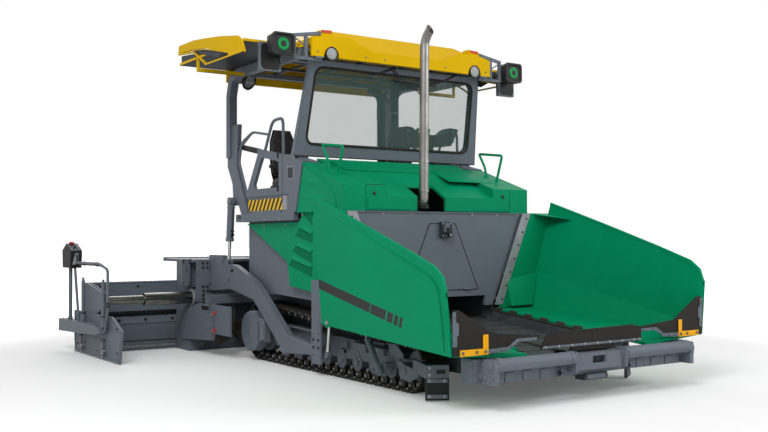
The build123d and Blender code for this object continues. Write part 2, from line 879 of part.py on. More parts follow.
def roof_envelope(sheet):
    """Roof hood's outer form, or its inner form one sheet further in."""
    side = [
        (roof_front + sheet, roof_low - sheet),
        (roof_front + sheet, 3520),
        (sheet, 3760 - sheet),
        (900, roof_top - sheet),
        (roof_rear - sheet, roof_top - 60 - sheet),
        (roof_rear - sheet, roof_low - sheet),
    ]
    shoulder = 3600 - sheet
    across = [
        (-roof_half + sheet, roof_low - 2 * sheet),
        (-roof_half + sheet, shoulder + sheet * 0.5),
        (-900, 3770 - sheet),
        (-760, roof_top - sheet),
        (760, roof_top - sheet),
        (900, 3770 - sheet),
        (roof_half - sheet, shoulder + sheet * 0.5),
        (roof_half - sheet, roof_low - 2 * sheet),
    ]
    brow = [
        (-roof_half + sheet, roof_low - 2 * sheet),
        (-roof_half + sheet, 3595 - sheet),
        (-1112, 3628 - sheet),
        (-778, 3645 - sheet),
        (-410, 3488 - sheet),
        (410, 3488 - sheet),
        (778, 3645 - sheet),
        (1112, 3628 - sheet),
        (roof_half - sheet, 3595 - sheet),
        (roof_half - sheet, roof_low - 2 * sheet),
    ]
    crown = prism_x(side, -roof_half, roof_half) & prism_y(across, roof_front, roof_rear)
    return crown + prism_y(brow, roof_front + sheet, -100 - sheet)


def roof_shell():
    """Roof hood: raked front with lamp arches, crowned top, open sides for the sliding awnings."""
    shell = roof_envelope(0) - roof_envelope(roof_sheet)
    open_low = roof_beam_z + post_size / 2 + seat_gap
    shell -= block((-roof_half - 10, roof_half + 10), (roof_front + roof_sheet, roof_rear - roof_sheet), (roof_low - 50, open_low))
    slot_top = 3571
    shell -= block((-roof_half - 10, roof_half + 10), (-35, 1760), (roof_low - 50, slot_top))
    for x in (-1005, 1005):
        shell -= rod((x, roof_front - 10, roof_low + 20), (x, roof_front + roof_sheet + 5, roof_low + 20), 95)
    return shell


nodes["roof_shell"] = roof_shell()


def roof_extension():
    """Awning that slides out of the roof's side: arched fascia, top sheet and lower cross bar."""
    inner = extension_reach - extension_sheet
    sheet_low = roof_beam_z + post_size / 2 + bearing_gap
    arch = [
        (-50, 3414), (16, 3541), (113, 3607), (577, 3680), (965, 3725), (1293, 3757), (1717, 3761), (1743, 3654),
        (1672, 3670), (1292, 3649), (965, 3611), (341, 3454), (341, 3414),
    ]
    awning = prism_x(arch, inner, extension_reach)
    awning += prism_x([(330, 3414), (330, 3432), (960, 3432), (960, 3414)], inner, extension_reach)
    awning += prism_x([(940, 3414), (940, 3440), (1290, 3628), (1700, 3672), (1743, 3654), (1293, 3610), (965, 3430)], inner, extension_reach)
    awning += block((1100, inner + 5), (-20, 1740), (sheet_low, sheet_low + 28))
    awning += block((roof_half + 60, inner + 5), (1200, 1236), (3384, 3424))
    awning += block((inner - 20, inner + 5), (1200, 1236), (3384, sheet_low + 10))
    return awning


both_sides("roof_extension", roof_extension())

carrier_x = 1460


def light_carrier():
    """Bracket of flat bars at the roof's front corner, with the mirror that hangs from it."""
    y_low = roof_front + roof_sheet + 5
    y_high = y_low + 30
    bracket = prism_y([(1110, 3640), (1110, 3680), (carrier_x, 3620), (carrier_x, 3585)], y_low, y_high)
    bracket += block((1110, carrier_x), (y_low, y_high), (3355, 3385))
    bracket += block((1110, 1200), (roof_front, y_high), (3380, roof_low - seat_gap))
    bracket += block((1280, 1315), (y_low, y_high), (3380, 3640))
    bracket += block((1425, carrier_x), (y_low, y_high), (3380, 3600))
    bracket += rod((1440, y_low + 15, 3352), (1560, -110, 3280), 11, 8)
    bracket += block((1534, 1787), (-135, -85), (3218, 3517))
    return bracket


nodes["light_carriers"] = mirrored(light_carrier())
nodes["corner_lamps"] = mirrored(block((carrier_x + seat_gap, 1700), (-340, -170), (3355, 3605)))


# ---- tow points and screed ----
def tow_post():
    """Bracket over the track that holds the tow arm's front end, with the levelling ram."""
    outer = [(-573, 127), (-573, 1000), (-388, 1000), (-388, 127)]
    post = prism_x(outer, tow_x + 40, tow_x + 62)
    post += block((tow_x - 62, tow_x - 40), (-573, -388), (520, 845))
    post += block((tow_x - 62, tow_x + 62), (-573, -551), (520, 845))
    post += block((tow_x - 62, tow_x + 62), (-573, -388), (820, 845))
    post += block((body_outer + seat_gap, tow_x - 61), (-573, -388), (770, 845))
    for z in (220, 440):
        for y in (-530, -430):
            post -= disc_x((y, z), 11, tow_x + 30, tow_x + 70)
    post += block((tow_x + 40, tow_x + 62), (-760, -570), (560, 640))
    post += rod((tow_x + 20, -690, 1000), (tow_x + 20, -690, 560), 36, 16)
    post += block((tow_x + 10, tow_x + 50), (-730, -650), (560, 640))
    post += rod((tow_x + 20, -690, 570), (tow_x + 20, -650, 250), 18, 12)
    post += disc_x((-650, 240), 34, tow_x + 5, tow_x + 35, 12)
    return post


nodes["tow_posts"] = mirrored(tow_post())


def tow_arm():
    """Long arm from the tow point over the track to the screed, with its mounting plate."""
    outline = [
        (-500, 300), (179, 376), (853, 859), (1033, 951), (1516, 1112), (1880, 1127), (1880, 1233),
        (arm_mount_y, 1233), (arm_mount_y, 773), (1629, 821), (1033, 720), (276, 166), (-313, 208), (-500, 208),
    ]
    arm = prism_x(outline, tow_x - tow_plate / 2, tow_x + tow_plate / 2)
    for y in (1960, 2200):
        arm -= disc_x((y, 1190), 14, tow_x - tow_plate, tow_x + tow_plate)
    for side in (-1, 1):
        ear = sorted((tow_x + side * (lift_rod_radius + bearing_gap), tow_x + side * (lift_rod_radius + 18)))
        arm += block(ear, (lift_eye_y - 45, lift_eye_y + 45), (lift_eye_z - 80, lift_eye_z + 22))
    return arm + disc_x((tow_pin_y, tow_pin_z), 44, tow_x - 40 + bearing_gap, tow_x + 40 - bearing_gap, 16)


nodes["tow_arms"] = mirrored(tow_arm())


def lift_barrel():
    """Barrel of the cylinder that lifts the screed, bored for its rod."""
    top = (tow_x, lift_top_y, lift_top_z)
    eye = (tow_x, lift_eye_y, lift_eye_z)
    barrel = rod(towards(top, eye, 35), towards(top, eye, lift_barrel_length), lift_barrel_radius, 20)
    barrel -= rod(towards(top, eye, 60), towards(top, eye, 900), lift_rod_radius + rod_gap, 20)
    return barrel + disc_x((lift_top_y, lift_top_z), lift_barrel_radius + 5, tow_x - 36, tow_x + 36, 20)


def lift_rod():
    """Rod of the lift cylinder with its eye."""
    top = (tow_x, lift_top_y, lift_top_z)
    eye = (tow_x, lift_eye_y, lift_eye_z)
    shaft = rod(towards(top, eye, 290), eye, lift_rod_radius, 20)
    return shaft + disc_x((lift_eye_y, lift_eye_z), 30, tow_x - lift_rod_radius, tow_x + lift_rod_radius, 16)


nodes["lift_barrels"] = mirrored(lift_barrel())
nodes["lift_rods"] = mirrored(lift_rod())
sleeve_radius = 108


def screed_main():
    """Basic screed: sole, box frame, guide sleeves of the telescopic tubes and walkway."""
    half = screed_half - 10
    body = block((-half, half), (screed_front, screed_rear), (0, 330))
    body += block((-half, half), (screed_front + 70, screed_rear), (300, screed_top - 25))
    body += block((-half, half), (arm_mount_y + seat_gap, walkway_rear), (screed_top - 30, screed_top))
    for side in (-1, 1):
        body += disc_x((tube_y, tube_z), sleeve_radius, side * 60, side * screed_half, 32)
        body += block(sorted((side * 200, side * 260)), (tube_y, screed_front + 80), (tube_z - 60, tube_z + 60))
        body += block(sorted((side * 1400, side * 1460)), (tube_y, screed_front + 80), (tube_z - 60, tube_z + 60))
        body += block(sorted((side * (tow_x - 30), side * (tow_x + 30))), (arm_mount_y + seat_gap, screed_front + 80), (810, screed_top))
    body -= disc_x((tube_y, tube_z), tube_outer_radius + tube_gap, -screed_half - 10, screed_half + 10, 32)
    return body


nodes["screed_main"] = screed_main()
stage_inner = 1050


def tube_stage():
    """Middle stage of a telescopic guide tube."""
    stage = disc_x((tube_y, tube_z), tube_outer_radius, stage_inner, stage_step, 32)
    return stage - disc_x((tube_y, tube_z), tube_inner_radius + tube_gap, stage_inner - 10, stage_step + 10, 32)


both_sides("tube_stage", tube_stage())
bracket_outer = extension_end - 20


def screed_extension():
    """Extending screed section: sole box, front wall, end bracket and inner guide tube."""
    outline = [
        (extension_front, 0),
        (extension_front, 133),
        (extension_front + 20, 420),
        (extension_front + 60, 440),
        (extension_front + extension_depth, 440),
        (extension_front + extension_depth, 0),
    ]
    section = prism_x(outline, extension_inner, bracket_outer)
    section += block((extension_inner, bracket_outer), (extension_front + 10, extension_front + 40), (500, 885))
    section += block((extension_inner, bracket_outer), (extension_front + 200, extension_front + 240), (430, 885))
    section += block((extension_inner, bracket_outer), (extension_front + 10, extension_front + 240), (500, 530))
    bracket = [
        (tube_y - 100, tube_z - 70),
        (tube_y - 100, tube_z + 90),
        (extension_front, 885),
        (extension_front + 240, 885),
        (extension_front + 240, 400),
        (extension_front, 400),
    ]
    section += prism_x(bracket, bracket_outer - 30, bracket_outer)
    return section + disc_x((tube_y, tube_z), tube_inner_radius, 1700, bracket_outer - 20, 32)


both_sides("screed_extension", screed_extension())


def end_plate():
    """Side plate that stands on the ground at the screed's end."""
    outline = [(1613, 0), (1527, 385), (1898, 528), (3341, 528), (3341, 277), (3307, 0)]
    return prism_x(outline, bracket_outer + seat_gap, extension_end)


both_sides("end_plate", end_plate())


def end_frame():
    """Outer beam, handrail frame and control console at the screed's end."""
    inner = extension_end + seat_gap
    frame = prism_x([(1992, 330), (1992, 370), (2188, 413), (rear_reach, 398), (rear_reach, 247), (2188, 300)], inner, 2800)
    rail = [(1990, 350), (1890, 620), (1890, 1080), (2197, 1145), (3190, 1140), (3000, 380)]
    frame += bent_tube([(2730, y, z) for y, z in rail], 16, 60)
    frame += rod((2740, 3330, 380), (2740, 3330, 1090), 22, 8)
    frame += prism_x([(3150, 1077), (3130, 1290), (3330, 1376), (3500, 1290), (3480, 1077)], 2660, 2800)
    return frame


both_sides("end_frame", end_frame())

# ---- augers ----
auger_steps = 16              # flat facets to a turn
flight_thickness = 16


def flight_corner(step):
    """Four corners of the flight's section at a step: inner and outer on the near side, then on the far side."""
    angle = 2 * math.pi * step / auger_steps
    x = auger_inner + 20 + step * auger_pitch / auger_steps
    ray = Vector(0, math.cos(angle), math.sin(angle))
    inner = Vector(x, auger_y, auger_z) + ray * (auger_shaft - 8)
    outer = Vector(x, auger_y, auger_z) + ray * auger_radius
    thick = Vector(flight_thickness, 0, 0)
    return [inner, outer, outer + thick, inner + thick]


def auger():
    """Spreading screw: shaft with one helical flight of flat facets."""
    count = int((auger_outer - auger_inner - 60) / auger_pitch * auger_steps)
    flight = faceted([flight_corner(step) for step in range(count + 1)])
    return disc_x((auger_y, auger_z), auger_shaft, auger_inner, auger_outer, 16) + flight


both_sides("auger", auger())


def auger_beam():
    """Beam over the augers with its centre case, end bearings and the side plates of the tunnel."""
    beam_low = auger_z + auger_radius + 25
    beam = block((-auger_outer - 100, auger_outer + 100), (auger_y - 60, auger_y + 60), (beam_low, beam_low + 110))
    beam += block((-auger_inner + bearing_gap, auger_inner - bearing_gap), (auger_y - 90, auger_y + 90), (auger_z - 110, beam_low + 10))
    for side in (-1, 1):
        beam += block(sorted((side * (auger_outer + bearing_gap), side * (auger_outer + 40))), (auger_y - 60, auger_y + 60), (auger_z - 60, beam_low + 10))
        beam += block(sorted((side * (chassis_half - 60), side * chassis_half)), (chassis_rear + seat_gap, auger_y), (beam_low, beam_low + 110))
        guard = [(1684, 199), (1684, 634), (2068, 634), (2626, 509), (2626, 144)]
        beam += prism_x(guard, *sorted((side * (screed_half + 6), side * (screed_half + 16))))
        beam += block(sorted((side * (auger_outer + 90), side * (screed_half + 10))), (auger_y - 60, auger_y - 30), (500, beam_low + 110))
        beam += prism_x([(1139, 285), (1139, 638), (1676, 638), (1676, 285)], *sorted((side * (screed_half + 6), side * (screed_half + 16))))
        beam += block(sorted((side * (screed_half - 14), side * (screed_half + 10))), (1500, 1860), (560, 600))
    return beam


nodes["auger_beam"] = auger_beam()

os.makedirs("parts", exist_ok=True)
for name, solid in nodes.items():
    export_step(Pos(0, length_shift, 0) * solid, f"parts/{name}.step")
print(len(nodes), "nodes")
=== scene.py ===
import json
import math
import bmesh
import bpy
from mathutils import Matrix, Vector

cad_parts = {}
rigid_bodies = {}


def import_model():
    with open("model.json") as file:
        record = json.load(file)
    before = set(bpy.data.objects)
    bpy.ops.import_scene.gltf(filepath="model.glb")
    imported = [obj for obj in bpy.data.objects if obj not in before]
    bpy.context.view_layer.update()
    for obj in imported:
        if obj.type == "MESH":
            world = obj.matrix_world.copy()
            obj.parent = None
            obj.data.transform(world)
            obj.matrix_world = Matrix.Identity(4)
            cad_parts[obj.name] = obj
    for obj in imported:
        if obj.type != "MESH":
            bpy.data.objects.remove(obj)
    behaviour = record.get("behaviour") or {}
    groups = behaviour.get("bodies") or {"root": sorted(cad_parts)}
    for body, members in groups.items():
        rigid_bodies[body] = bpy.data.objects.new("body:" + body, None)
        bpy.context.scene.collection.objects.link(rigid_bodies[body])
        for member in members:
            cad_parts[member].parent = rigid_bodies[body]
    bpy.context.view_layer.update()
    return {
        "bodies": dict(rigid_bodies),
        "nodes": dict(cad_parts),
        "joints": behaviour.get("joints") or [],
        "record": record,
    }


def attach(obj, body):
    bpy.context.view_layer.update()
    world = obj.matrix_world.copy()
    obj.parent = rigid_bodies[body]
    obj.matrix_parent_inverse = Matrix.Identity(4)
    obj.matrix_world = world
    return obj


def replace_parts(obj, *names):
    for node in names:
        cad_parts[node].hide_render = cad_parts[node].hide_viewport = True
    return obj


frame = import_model()
nodes = frame["nodes"]
shift = -200            # the drawing's Y zero to the frame's, mm
sides = {"left": 1, "right": -1}

scene = bpy.context.scene
scene.view_settings.view_transform = "Standard"


# finishes
class Signal:
    # a socket that sums can be written with
    def __init__(self, finish, socket):
        self.finish = finish
        self.socket = socket

    def work(self, operation, first, second):
        return self.finish.node("Math", {"operation": operation}, {0: first, 1: second})

    def __add__(self, other):
        return self.work("ADD", self, other)

    def __radd__(self, other):
        return self.work("ADD", other, self)

    def __sub__(self, other):
        return self.work("SUBTRACT", self, other)

    def __rsub__(self, other):
        return self.work("SUBTRACT", other, self)

    def __mul__(self, other):
        return self.work("MULTIPLY", self, other)

    def __rmul__(self, other):
        return self.work("MULTIPLY", other, self)

    def __truediv__(self, other):
        return self.work("DIVIDE", self, other)

    def __gt__(self, other):
        return self.work("GREATER_THAN", self, other)

    def __lt__(self, other):
        return self.work("LESS_THAN", self, other)

    def __abs__(self):
        return self.finish.node("Math", {"operation": "ABSOLUTE"}, {0: self})


class Finish:
    def __init__(self, name):
        self.material = bpy.data.materials.new(name)
        self.material.use_nodes = True
        self.tree = self.material.node_tree
        self.shader = self.tree.nodes["Principled BSDF"]

    def node(self, kind, settings=None, values=None, output=0):
        made = self.tree.nodes.new("ShaderNode" + kind)
        for name, value in (settings or {}).items():
            if name == "stops":
                ramp = made.color_ramp.elements
                while len(ramp) < len(value):
                    ramp.new(0.5)
                for stop, (position, colour) in zip(ramp, value):
                    stop.position = position
                    stop.color = colour
            else:
                setattr(made, name, value)
        for name, value in (values or {}).items():
            self.feed(made.inputs[name], value)
        return Signal(self, made.outputs[output])

    def feed(self, socket, value):
        if isinstance(value, Signal):
            self.tree.links.new(value.socket, socket)
        else:
            socket.default_value = value

    def set(self, **values):
        # constants go straight onto the shader, signals are linked
        for name, value in values.items():
            self.feed(self.shader.inputs[shaderSockets[name]], value)
        return self

    def blend(self, first, second, share, way="MIX"):
        return self.node(
            "Mix", {"data_type": "RGBA", "blend_type": way}, {0: share, 6: first, 7: second}, 2
        )

    def place(self):
        return self.node("TexCoord", output="Object")

    def parts(self):
        split = self.node("SeparateXYZ", values={0: self.place()})
        made = split.socket.node
        return [Signal(self, made.outputs[index]) for index in range(3)]

    def facing(self, axis):
        # how far the surface faces along an axis
        return self.node("SeparateXYZ", values={0: self.node("NewGeometry", output="Normal")}, output=axis)

    def noise(self, scale, detail=3.0, rough=0.55, vector=None):
        return self.node(
            "TexNoise",
            values={
                "Vector": vector or self.place(), "Scale": scale, "Detail": detail, "Roughness": rough
            }
        )

    def ramp(self, value, low, high):
        # 0 below low, 1 above high
        return self.node("MapRange", {"interpolation_type": "SMOOTHSTEP"}, {0: value, 1: low, 2: high})

    def edge(self, width):
        # normal with rounded arrises, and how far it leans from the flat one
        rounded = self.node("Bevel", {"samples": 4}, {"Radius": width})
        flat = self.node("NewGeometry", output="Normal")
        lean = self.node("VectorMath", {"operation": "DOT_PRODUCT"}, {0: rounded, 1: flat}, "Value")
        return rounded, 1 - lean

    def bump(self, height, strength, distance, normal=None):
        values = {"Height": height, "Strength": strength, "Distance": distance}
        if normal:
            values["Normal"] = normal
        return self.node("Bump", values=values)


shaderSockets = {
    "colour": "Base Color",
    "rough": "Roughness",
    "metal": "Metallic",
    "coat": "Coat Weight",
    "coatRough": "Coat Roughness",
    "alpha": "Alpha",
    "normal": "Normal",
    "glow": "Emission Color",
    "glowStrength": "Emission Strength",
    "specular": "Specular IOR Level",
    "sheen": "Sheen Weight",
}


def shade(colour, factor):
    return tuple(min(1, channel * factor) for channel in colour[:3]) + (1,)


paintLook = {
    "green": {"colour": (0.0, 0.27, 0.122, 1), "rough": 0.42, "dust": 0.015, "gloss": 0.05},
    "grey": {"colour": (0.135, 0.16, 0.192, 1), "rough": 0.45, "dust": 0.06, "gloss": 0.12},
    "dark": {"colour": (0.036, 0.042, 0.049, 1), "rough": 0.5, "dust": 0.1, "gloss": 0.16},
    "yellow": {"colour": (0.7, 0.43, 0.0, 1), "rough": 0.4, "dust": 0.0, "gloss": 0.03},
    "dust": (0.30, 0.285, 0.26, 1),
    "arris": 0.004,
    "peelScale": 420,
}


def paint(name, look, extra=None):
    # sprayed enamel: slight mottle, orange peel, dust low down, painted highlight along the arrises
    finish = Finish(name)
    colour = look["colour"]
    cloud = finish.noise(1.6, 4)
    body = finish.blend(shade(colour, 0.9), shade(colour, 1.08), cloud)
    if extra:
        body = extra(finish, body)
    rounded, lean = finish.edge(paintLook["arris"])
    # painted highlight: the colour is lightened where the bevel normal leans, along the arrises
    body = finish.blend(body, shade(colour, 1.7), finish.ramp(lean, 0.02, 0.3) * 0.35)
    x, y, z = finish.parts()
    low = 1 - finish.ramp(z, 0.1, 1.1)
    speck = finish.ramp(finish.noise(9, 6, 0.7), 0.42, 0.75)
    dirt = (low * 0.8 + 0.2) * speck * look["dust"] * 2
    body = finish.blend(body, paintLook["dust"], dirt)
    peel = finish.noise(paintLook["peelScale"], 1)
    rough = look["rough"] + dirt * 0.5 + (cloud - 0.5) * 0.12
    return finish.set(
        colour=body, rough=rough, specular=look["gloss"], normal=finish.bump(peel, 0.06, 0.001, rounded)
    )


def steel(name, colour, rough, scratch=0.25, metal=0.9, grainScale=(3, 3, 260), dark=0.55):
    # bare metal with fine directional scratches and a little tarnish
    finish = Finish(name)
    stretched = finish.node("Mapping", values={"Vector": finish.place(), "Scale": grainScale})
    grain = finish.noise(1.0, 4, 0.6, stretched)
    cloud = finish.ramp(finish.noise(5, 5, 0.65), 0.35, 0.75)
    rounded, lean = finish.edge(0.003)
    body = finish.blend(shade(colour, 1.05), shade(colour, dark), cloud * 0.7)
    # painted highlight: the colour is lightened where the bevel normal leans, along the arrises
    body = finish.blend(body, shade(colour, 1.5), finish.ramp(lean, 0.02, 0.3) * 0.4)
    return finish.set(
        colour=body,
        metal=metal,
        rough=rough + grain * scratch - 0.1 + cloud * 0.12,
        normal=finish.bump(grain, 0.15, 0.001, rounded),
    )


def rubberFinish(name, extra=None):
    finish = Finish(name)
    dusty = finish.ramp(finish.noise(7, 6, 0.7), 0.4, 0.8)
    body = finish.blend((0.014, 0.013, 0.012, 1), (0.045, 0.041, 0.035, 1), dusty * 0.5)
    if extra:
        body = extra(finish, body)
    rounded, lean = finish.edge(0.003)
    pits = finish.noise(150, 5, 0.7)
    return finish.set(
        colour=body, rough=0.62 + dusty * 0.25, specular=0.2,
        normal=finish.bump(pits, 0.25, 0.002, rounded)
    )


def plasticFinish(name, colour, rough=0.45, texture=600):
    finish = Finish(name)
    fine = finish.node("TexVoronoi", values={"Vector": finish.place(), "Scale": texture})
    cloud = finish.noise(6, 4)
    rounded, lean = finish.edge(0.003)
    body = finish.blend(shade(colour, 0.85), shade(colour, 1.2), cloud)
    # painted highlight: the colour is lightened where the bevel normal leans, along the arrises
    body = finish.blend(body, shade(colour, 2.2), finish.ramp(lean, 0.02, 0.3) * 0.3)
    return finish.set(
        colour=body, rough=rough + (cloud - 0.5) * 0.2, specular=0.22,
        normal=finish.bump(fine, 0.12, 0.001, rounded)
    )


def fabricFinish(name, colour):
    # seat cover: tight weave under a soft sheen
    finish = Finish(name)
    x, y, z = finish.parts()
    warp = finish.node(
        "TexWave", {"bands_direction": "X"},
        {"Vector": finish.place(), "Scale": 140.0, "Distortion": 1.5}
    )
    weft = finish.node(
        "TexWave", {"bands_direction": "Z"},
        {"Vector": finish.place(), "Scale": 140.0, "Distortion": 1.5}
    )
    weave = warp * weft
    wear = finish.ramp(finish.noise(14, 5), 0.35, 0.8)
    body = finish.blend(shade(colour, 0.7), shade(colour, 1.5), weave * 0.6 + wear * 0.3)
    return finish.set(
        colour=body, rough=0.8 - wear * 0.15, sheen=0.3, normal=finish.bump(weave, 0.35, 0.001)
    )


def glassFinish(name, tint, clear=0.1, haze=0.03):
    # thin pane: mostly clear, firmer where it is seen at a slant
    finish = Finish(name)
    slant = finish.node("Fresnel", values={"IOR": 1.45})
    film = finish.ramp(finish.noise(2.2, 5, 0.6), 0.3, 0.9)
    return finish.set(
        colour=tint, rough=haze + film * 0.03, alpha=clear + slant * 0.5 + film * 0.02, specular=0.15
    )


def bandMask(value, low, high):
    return (value > low) * (value < high)


wingBand = {
    "rearY": -1.1,         # where the dark band begins
    "gapY": -2.42,
    "slot": (-2.155, -2.14),
    "dashes": ((-2.445, -2.54), (-2.565, -2.63), (-2.655, -2.7)),
    "topRear": 1.049,
    "slope": 0.1955,
    "width": 0.096,
    "colour": (0.045, 0.048, 0.052, 1),
}


def wingMarks(finish, body):
    # dark band with shortening dashes on the wing's outer face
    x, y, z = finish.parts()
    line = z - (y - wingBand["rearY"]) * wingBand["slope"]
    height = bandMask(line, wingBand["topRear"] - wingBand["width"], wingBand["topRear"])
    slanted = y + (z - 0.9) * 0.45
    run = bandMask(slanted, wingBand["gapY"], wingBand["rearY"])
    for start, end in wingBand["dashes"]:
        run = run + bandMask(slanted, end, start)
    outside = finish.facing("X") * x > 0.5
    run = run - bandMask(slanted, *wingBand["slot"])
    return finish.blend(body, wingBand["colour"], height * run * outside)


flapMarks = {
    "inner": 1.203, "outer": 1.505, "foot": 1.257, "high": 0.645, "step": 0.531,
    "colour": (0.9, 0.42, 0.005, 1)
}


def flapPaint(finish, body):
    # width marker on the rubber flap
    x, y, z = finish.parts()
    across = abs(x)
    marker = (across > flapMarks["inner"]) * (across < flapMarks["outer"]) * (z < flapMarks["high"])
    notch = 1 - (across > flapMarks["foot"]) * (z > flapMarks["step"])
    front = y < -3.2985
    wear = finish.ramp(finish.noise(30, 5, 0.7), 0.25, 0.45)
    return finish.blend(body, flapMarks["colour"], marker * notch * front * (0.55 + wear * 0.45))


hazard = {
    "rear": 1.012,
    "front": 0.132,
    "low": 1.764,
    "high": 1.896,
    "face": 1.262,
    "stripes": 10.5,
    "yellow": (0.85, 0.52, 0.01, 1),
    "black": (0.012, 0.012, 0.016, 1),
}


def hazardStrip(finish, body):
    # slanted black and yellow stripes on the sill box
    x, y, z = finish.parts()
    across = abs(x)
    field = bandMask(
        y, hazard["front"], hazard["rear"]
    ) * bandMask(z, hazard["low"], hazard["high"]) * (across > hazard["face"])
    run = (y + z * 0.65) * hazard["stripes"]
    stripe = finish.node("Math", {"operation": "FRACT"}, {0: run}) > 0.5
    tape = finish.blend(hazard["black"], hazard["yellow"], stripe)
    return finish.blend(body, tape, field)


endBox = {"low": 1.074, "front": 2.925, "side": 2.656, "colour": (0.012, 0.012, 0.013, 1)}


def boxPaint(finish, body):
    # the black case of the operator's box on the screed's end frame
    x, y, z = finish.parts()
    across = abs(x)
    case = (across > endBox["side"]) * (y > endBox["front"]) * (z > endBox["low"])
    return finish.blend(body, endBox["colour"], case)


# painted shade colour for the awning's downward faces
undersideShade = {"below": -0.7, "colour": (0.03, 0.033, 0.036, 1)}


def awningPaint(finish, body):
    # painted shade: faces that look down are darkened
    return finish.blend(body, undersideShade["colour"], finish.facing("Z") < undersideShade["below"])


finishes = {
    "green_paint": paint("greenPaint", paintLook["green"]),
    "grey_paint": paint("greyPaint", paintLook["grey"]),
    "dark_paint": paint("darkPaint", paintLook["dark"]),
    "yellow_paint": paint("yellowPaint", paintLook["yellow"]),
    "pale_steel": steel("paleSteel", (0.3, 0.31, 0.33, 1), 0.45, metal=0.5),
    "track_steel": steel("trackSteel", (0.05, 0.046, 0.04, 1), 0.5, metal=0.55, dark=0.4),
    "rubber": rubberFinish("rubber"),
    "deep_green": paint(
        "deepGreen", {"colour": (0.0, 0.16, 0.07, 1), "rough": 0.5, "dust": 0.01, "gloss": 0.04}
    ),
    "dark_chrome": steel("darkChrome", (0.2, 0.195, 0.185, 1), 0.2, 0.12, 1.0, (3, 60, 60)),
    "red_plastic": plasticFinish("redPlastic", (0.55, 0.03, 0.015, 1), 0.35),
    "lens_green": plasticFinish("lensGreen", (0.0, 0.26, 0.06, 1), 0.5),
    "lens_pale": plasticFinish("lensPale", (0.42, 0.43, 0.42, 1), 0.3, 260),
    "chrome": steel("chrome", (0.62, 0.62, 0.6, 1), 0.16, 0.08, 1.0),
    "pipe_steel": steel("pipeSteel", (0.25, 0.245, 0.235, 1), 0.3, 0.2, 1.0, (60, 60, 1.5), 0.6),
    "black_plastic": plasticFinish("blackPlastic", (0.014, 0.014, 0.015, 1)),
    "fabric": fabricFinish("seatFabric", (0.022, 0.022, 0.024, 1)),
    "glass": glassFinish("screenGlass", (0.11, 0.19, 0.17, 1), 0.27),
}
special = {
    "roof_extension": paint("awningPaint", paintLook["yellow"], awningPaint),
    "end_frame": paint("endFramePaint", paintLook["grey"], boxPaint),
    "hopper_wing": paint("wingPaint", paintLook["green"], wingMarks),
    "side_consoles": paint("consolePaint", paintLook["grey"], hazardStrip),
    "tube_stage": finishes["dark_chrome"],
    "wing_flap": rubberFinish("flapRubber", flapPaint),
}
slotNames = {name: node.data.materials[0].name.split(".")[0] for name, node in nodes.items()}
for name, node in nodes.items():
    slotName = slotNames[name]
    chosen = finishes.get(slotName)
    for start, finish in special.items():
        if name.startswith(start):
            chosen = finish
    for index in range(len(node.data.materials)):
        node.material_slots[index].material = chosen.material
print("finishes on", len(nodes), "carried-over nodes")


# camera, floor and lamps
view = {
    "at": (-6.3626, -9.3167, 1.4359),
    "turn": -34.418,
    "tilt": 1.352,
    "roll": -0.175,
    "lens": 44.68,
}
camera = bpy.data.objects.new("camera", bpy.data.cameras.new("camera"))
camera.data.lens = view["lens"]
camera.data.sensor_width = 36
camera.data.clip_end = 200
aim = Matrix.Rotation(math.radians(view["turn"]), 4, "Z") @ Matrix.Rotation(
    math.radians(90 + view["tilt"]), 4, "X"
)
camera.matrix_world = Matrix.Translation(view["at"]) @ aim @ Matrix.Rotation(
    math.radians(view["roll"]), 4, "Z"
)
scene.collection.objects.link(camera)
scene.camera = camera

studio = {
    "floorSize": 120,
    "floorColour": (0.93, 0.93, 0.93, 1),
    "lift": 0.1,
    "far": (4.6, 9.0),
    "farLift": 1.0,
    "skyStrength": 0.42,
    "lamps": {
        "keyLamp": {"at": (-9, -7, 11), "size": 7, "power": 980},
        "fillLamp": {"at": (8, -11, 7), "size": 8, "power": 620},
        "backLamp": {"at": (2, 12, 9), "size": 8, "power": 420},
    },
}
floorMesh = bmesh.new()
bmesh.ops.create_grid(floorMesh, x_segments=1, y_segments=1, size=studio["floorSize"])
floorData = bpy.data.meshes.new("floor")
floorMesh.to_mesh(floorData)
floorMesh.free()
floor = bpy.data.objects.new("floor", floorData)
scene.collection.objects.link(floor)
floorFinish = Finish("floorPaper")
floorFinish.set(colour=studio["floorColour"], rough=0.9, specular=0.1)
seen = floorFinish.node("LightPath", output="Is Camera Ray")
away = floorFinish.node("VectorMath", {"operation": "LENGTH"}, {0: floorFinish.place()}, "Value")
# painted light: for camera rays the floor glows faintly beside the machine and white far from it
level = floorFinish.ramp(away, *studio["far"]) * studio["farLift"] + studio["lift"]
floorFinish.set(glow=floorFinish.blend((0, 0, 0, 1), (1, 1, 1, 1), seen * level), glowStrength=1.0)
floorData.materials.append(floorFinish.material)

world = bpy.data.worlds.new("studio")
world.use_nodes = True
scene.world = world
skyTree = world.node_tree
rays = skyTree.nodes.new("ShaderNodeLightPath")
either = skyTree.nodes.new("ShaderNodeMath")
either.operation = "MAXIMUM"
skyTree.links.new(rays.outputs["Is Camera Ray"], either.inputs[0])
skyTree.links.new(rays.outputs["Is Transmission Ray"], either.inputs[1])
every = skyTree.nodes.new("ShaderNodeMath")
every.operation = "MAXIMUM"
skyTree.links.new(either.outputs[0], every.inputs[0])
skyTree.links.new(rays.outputs["Is Glossy Ray"], every.inputs[1])
strength = skyTree.nodes.new("ShaderNodeMapRange")
strength.inputs[3].default_value = studio["skyStrength"]
strength.inputs[4].default_value = 1.0
skyTree.links.new(every.outputs[0], strength.inputs[0])
skyTree.links.new(strength.outputs[0], skyTree.nodes["Background"].inputs["Strength"])
skyTree.nodes["Background"].inputs["Color"].default_value = (1, 1, 1, 1)
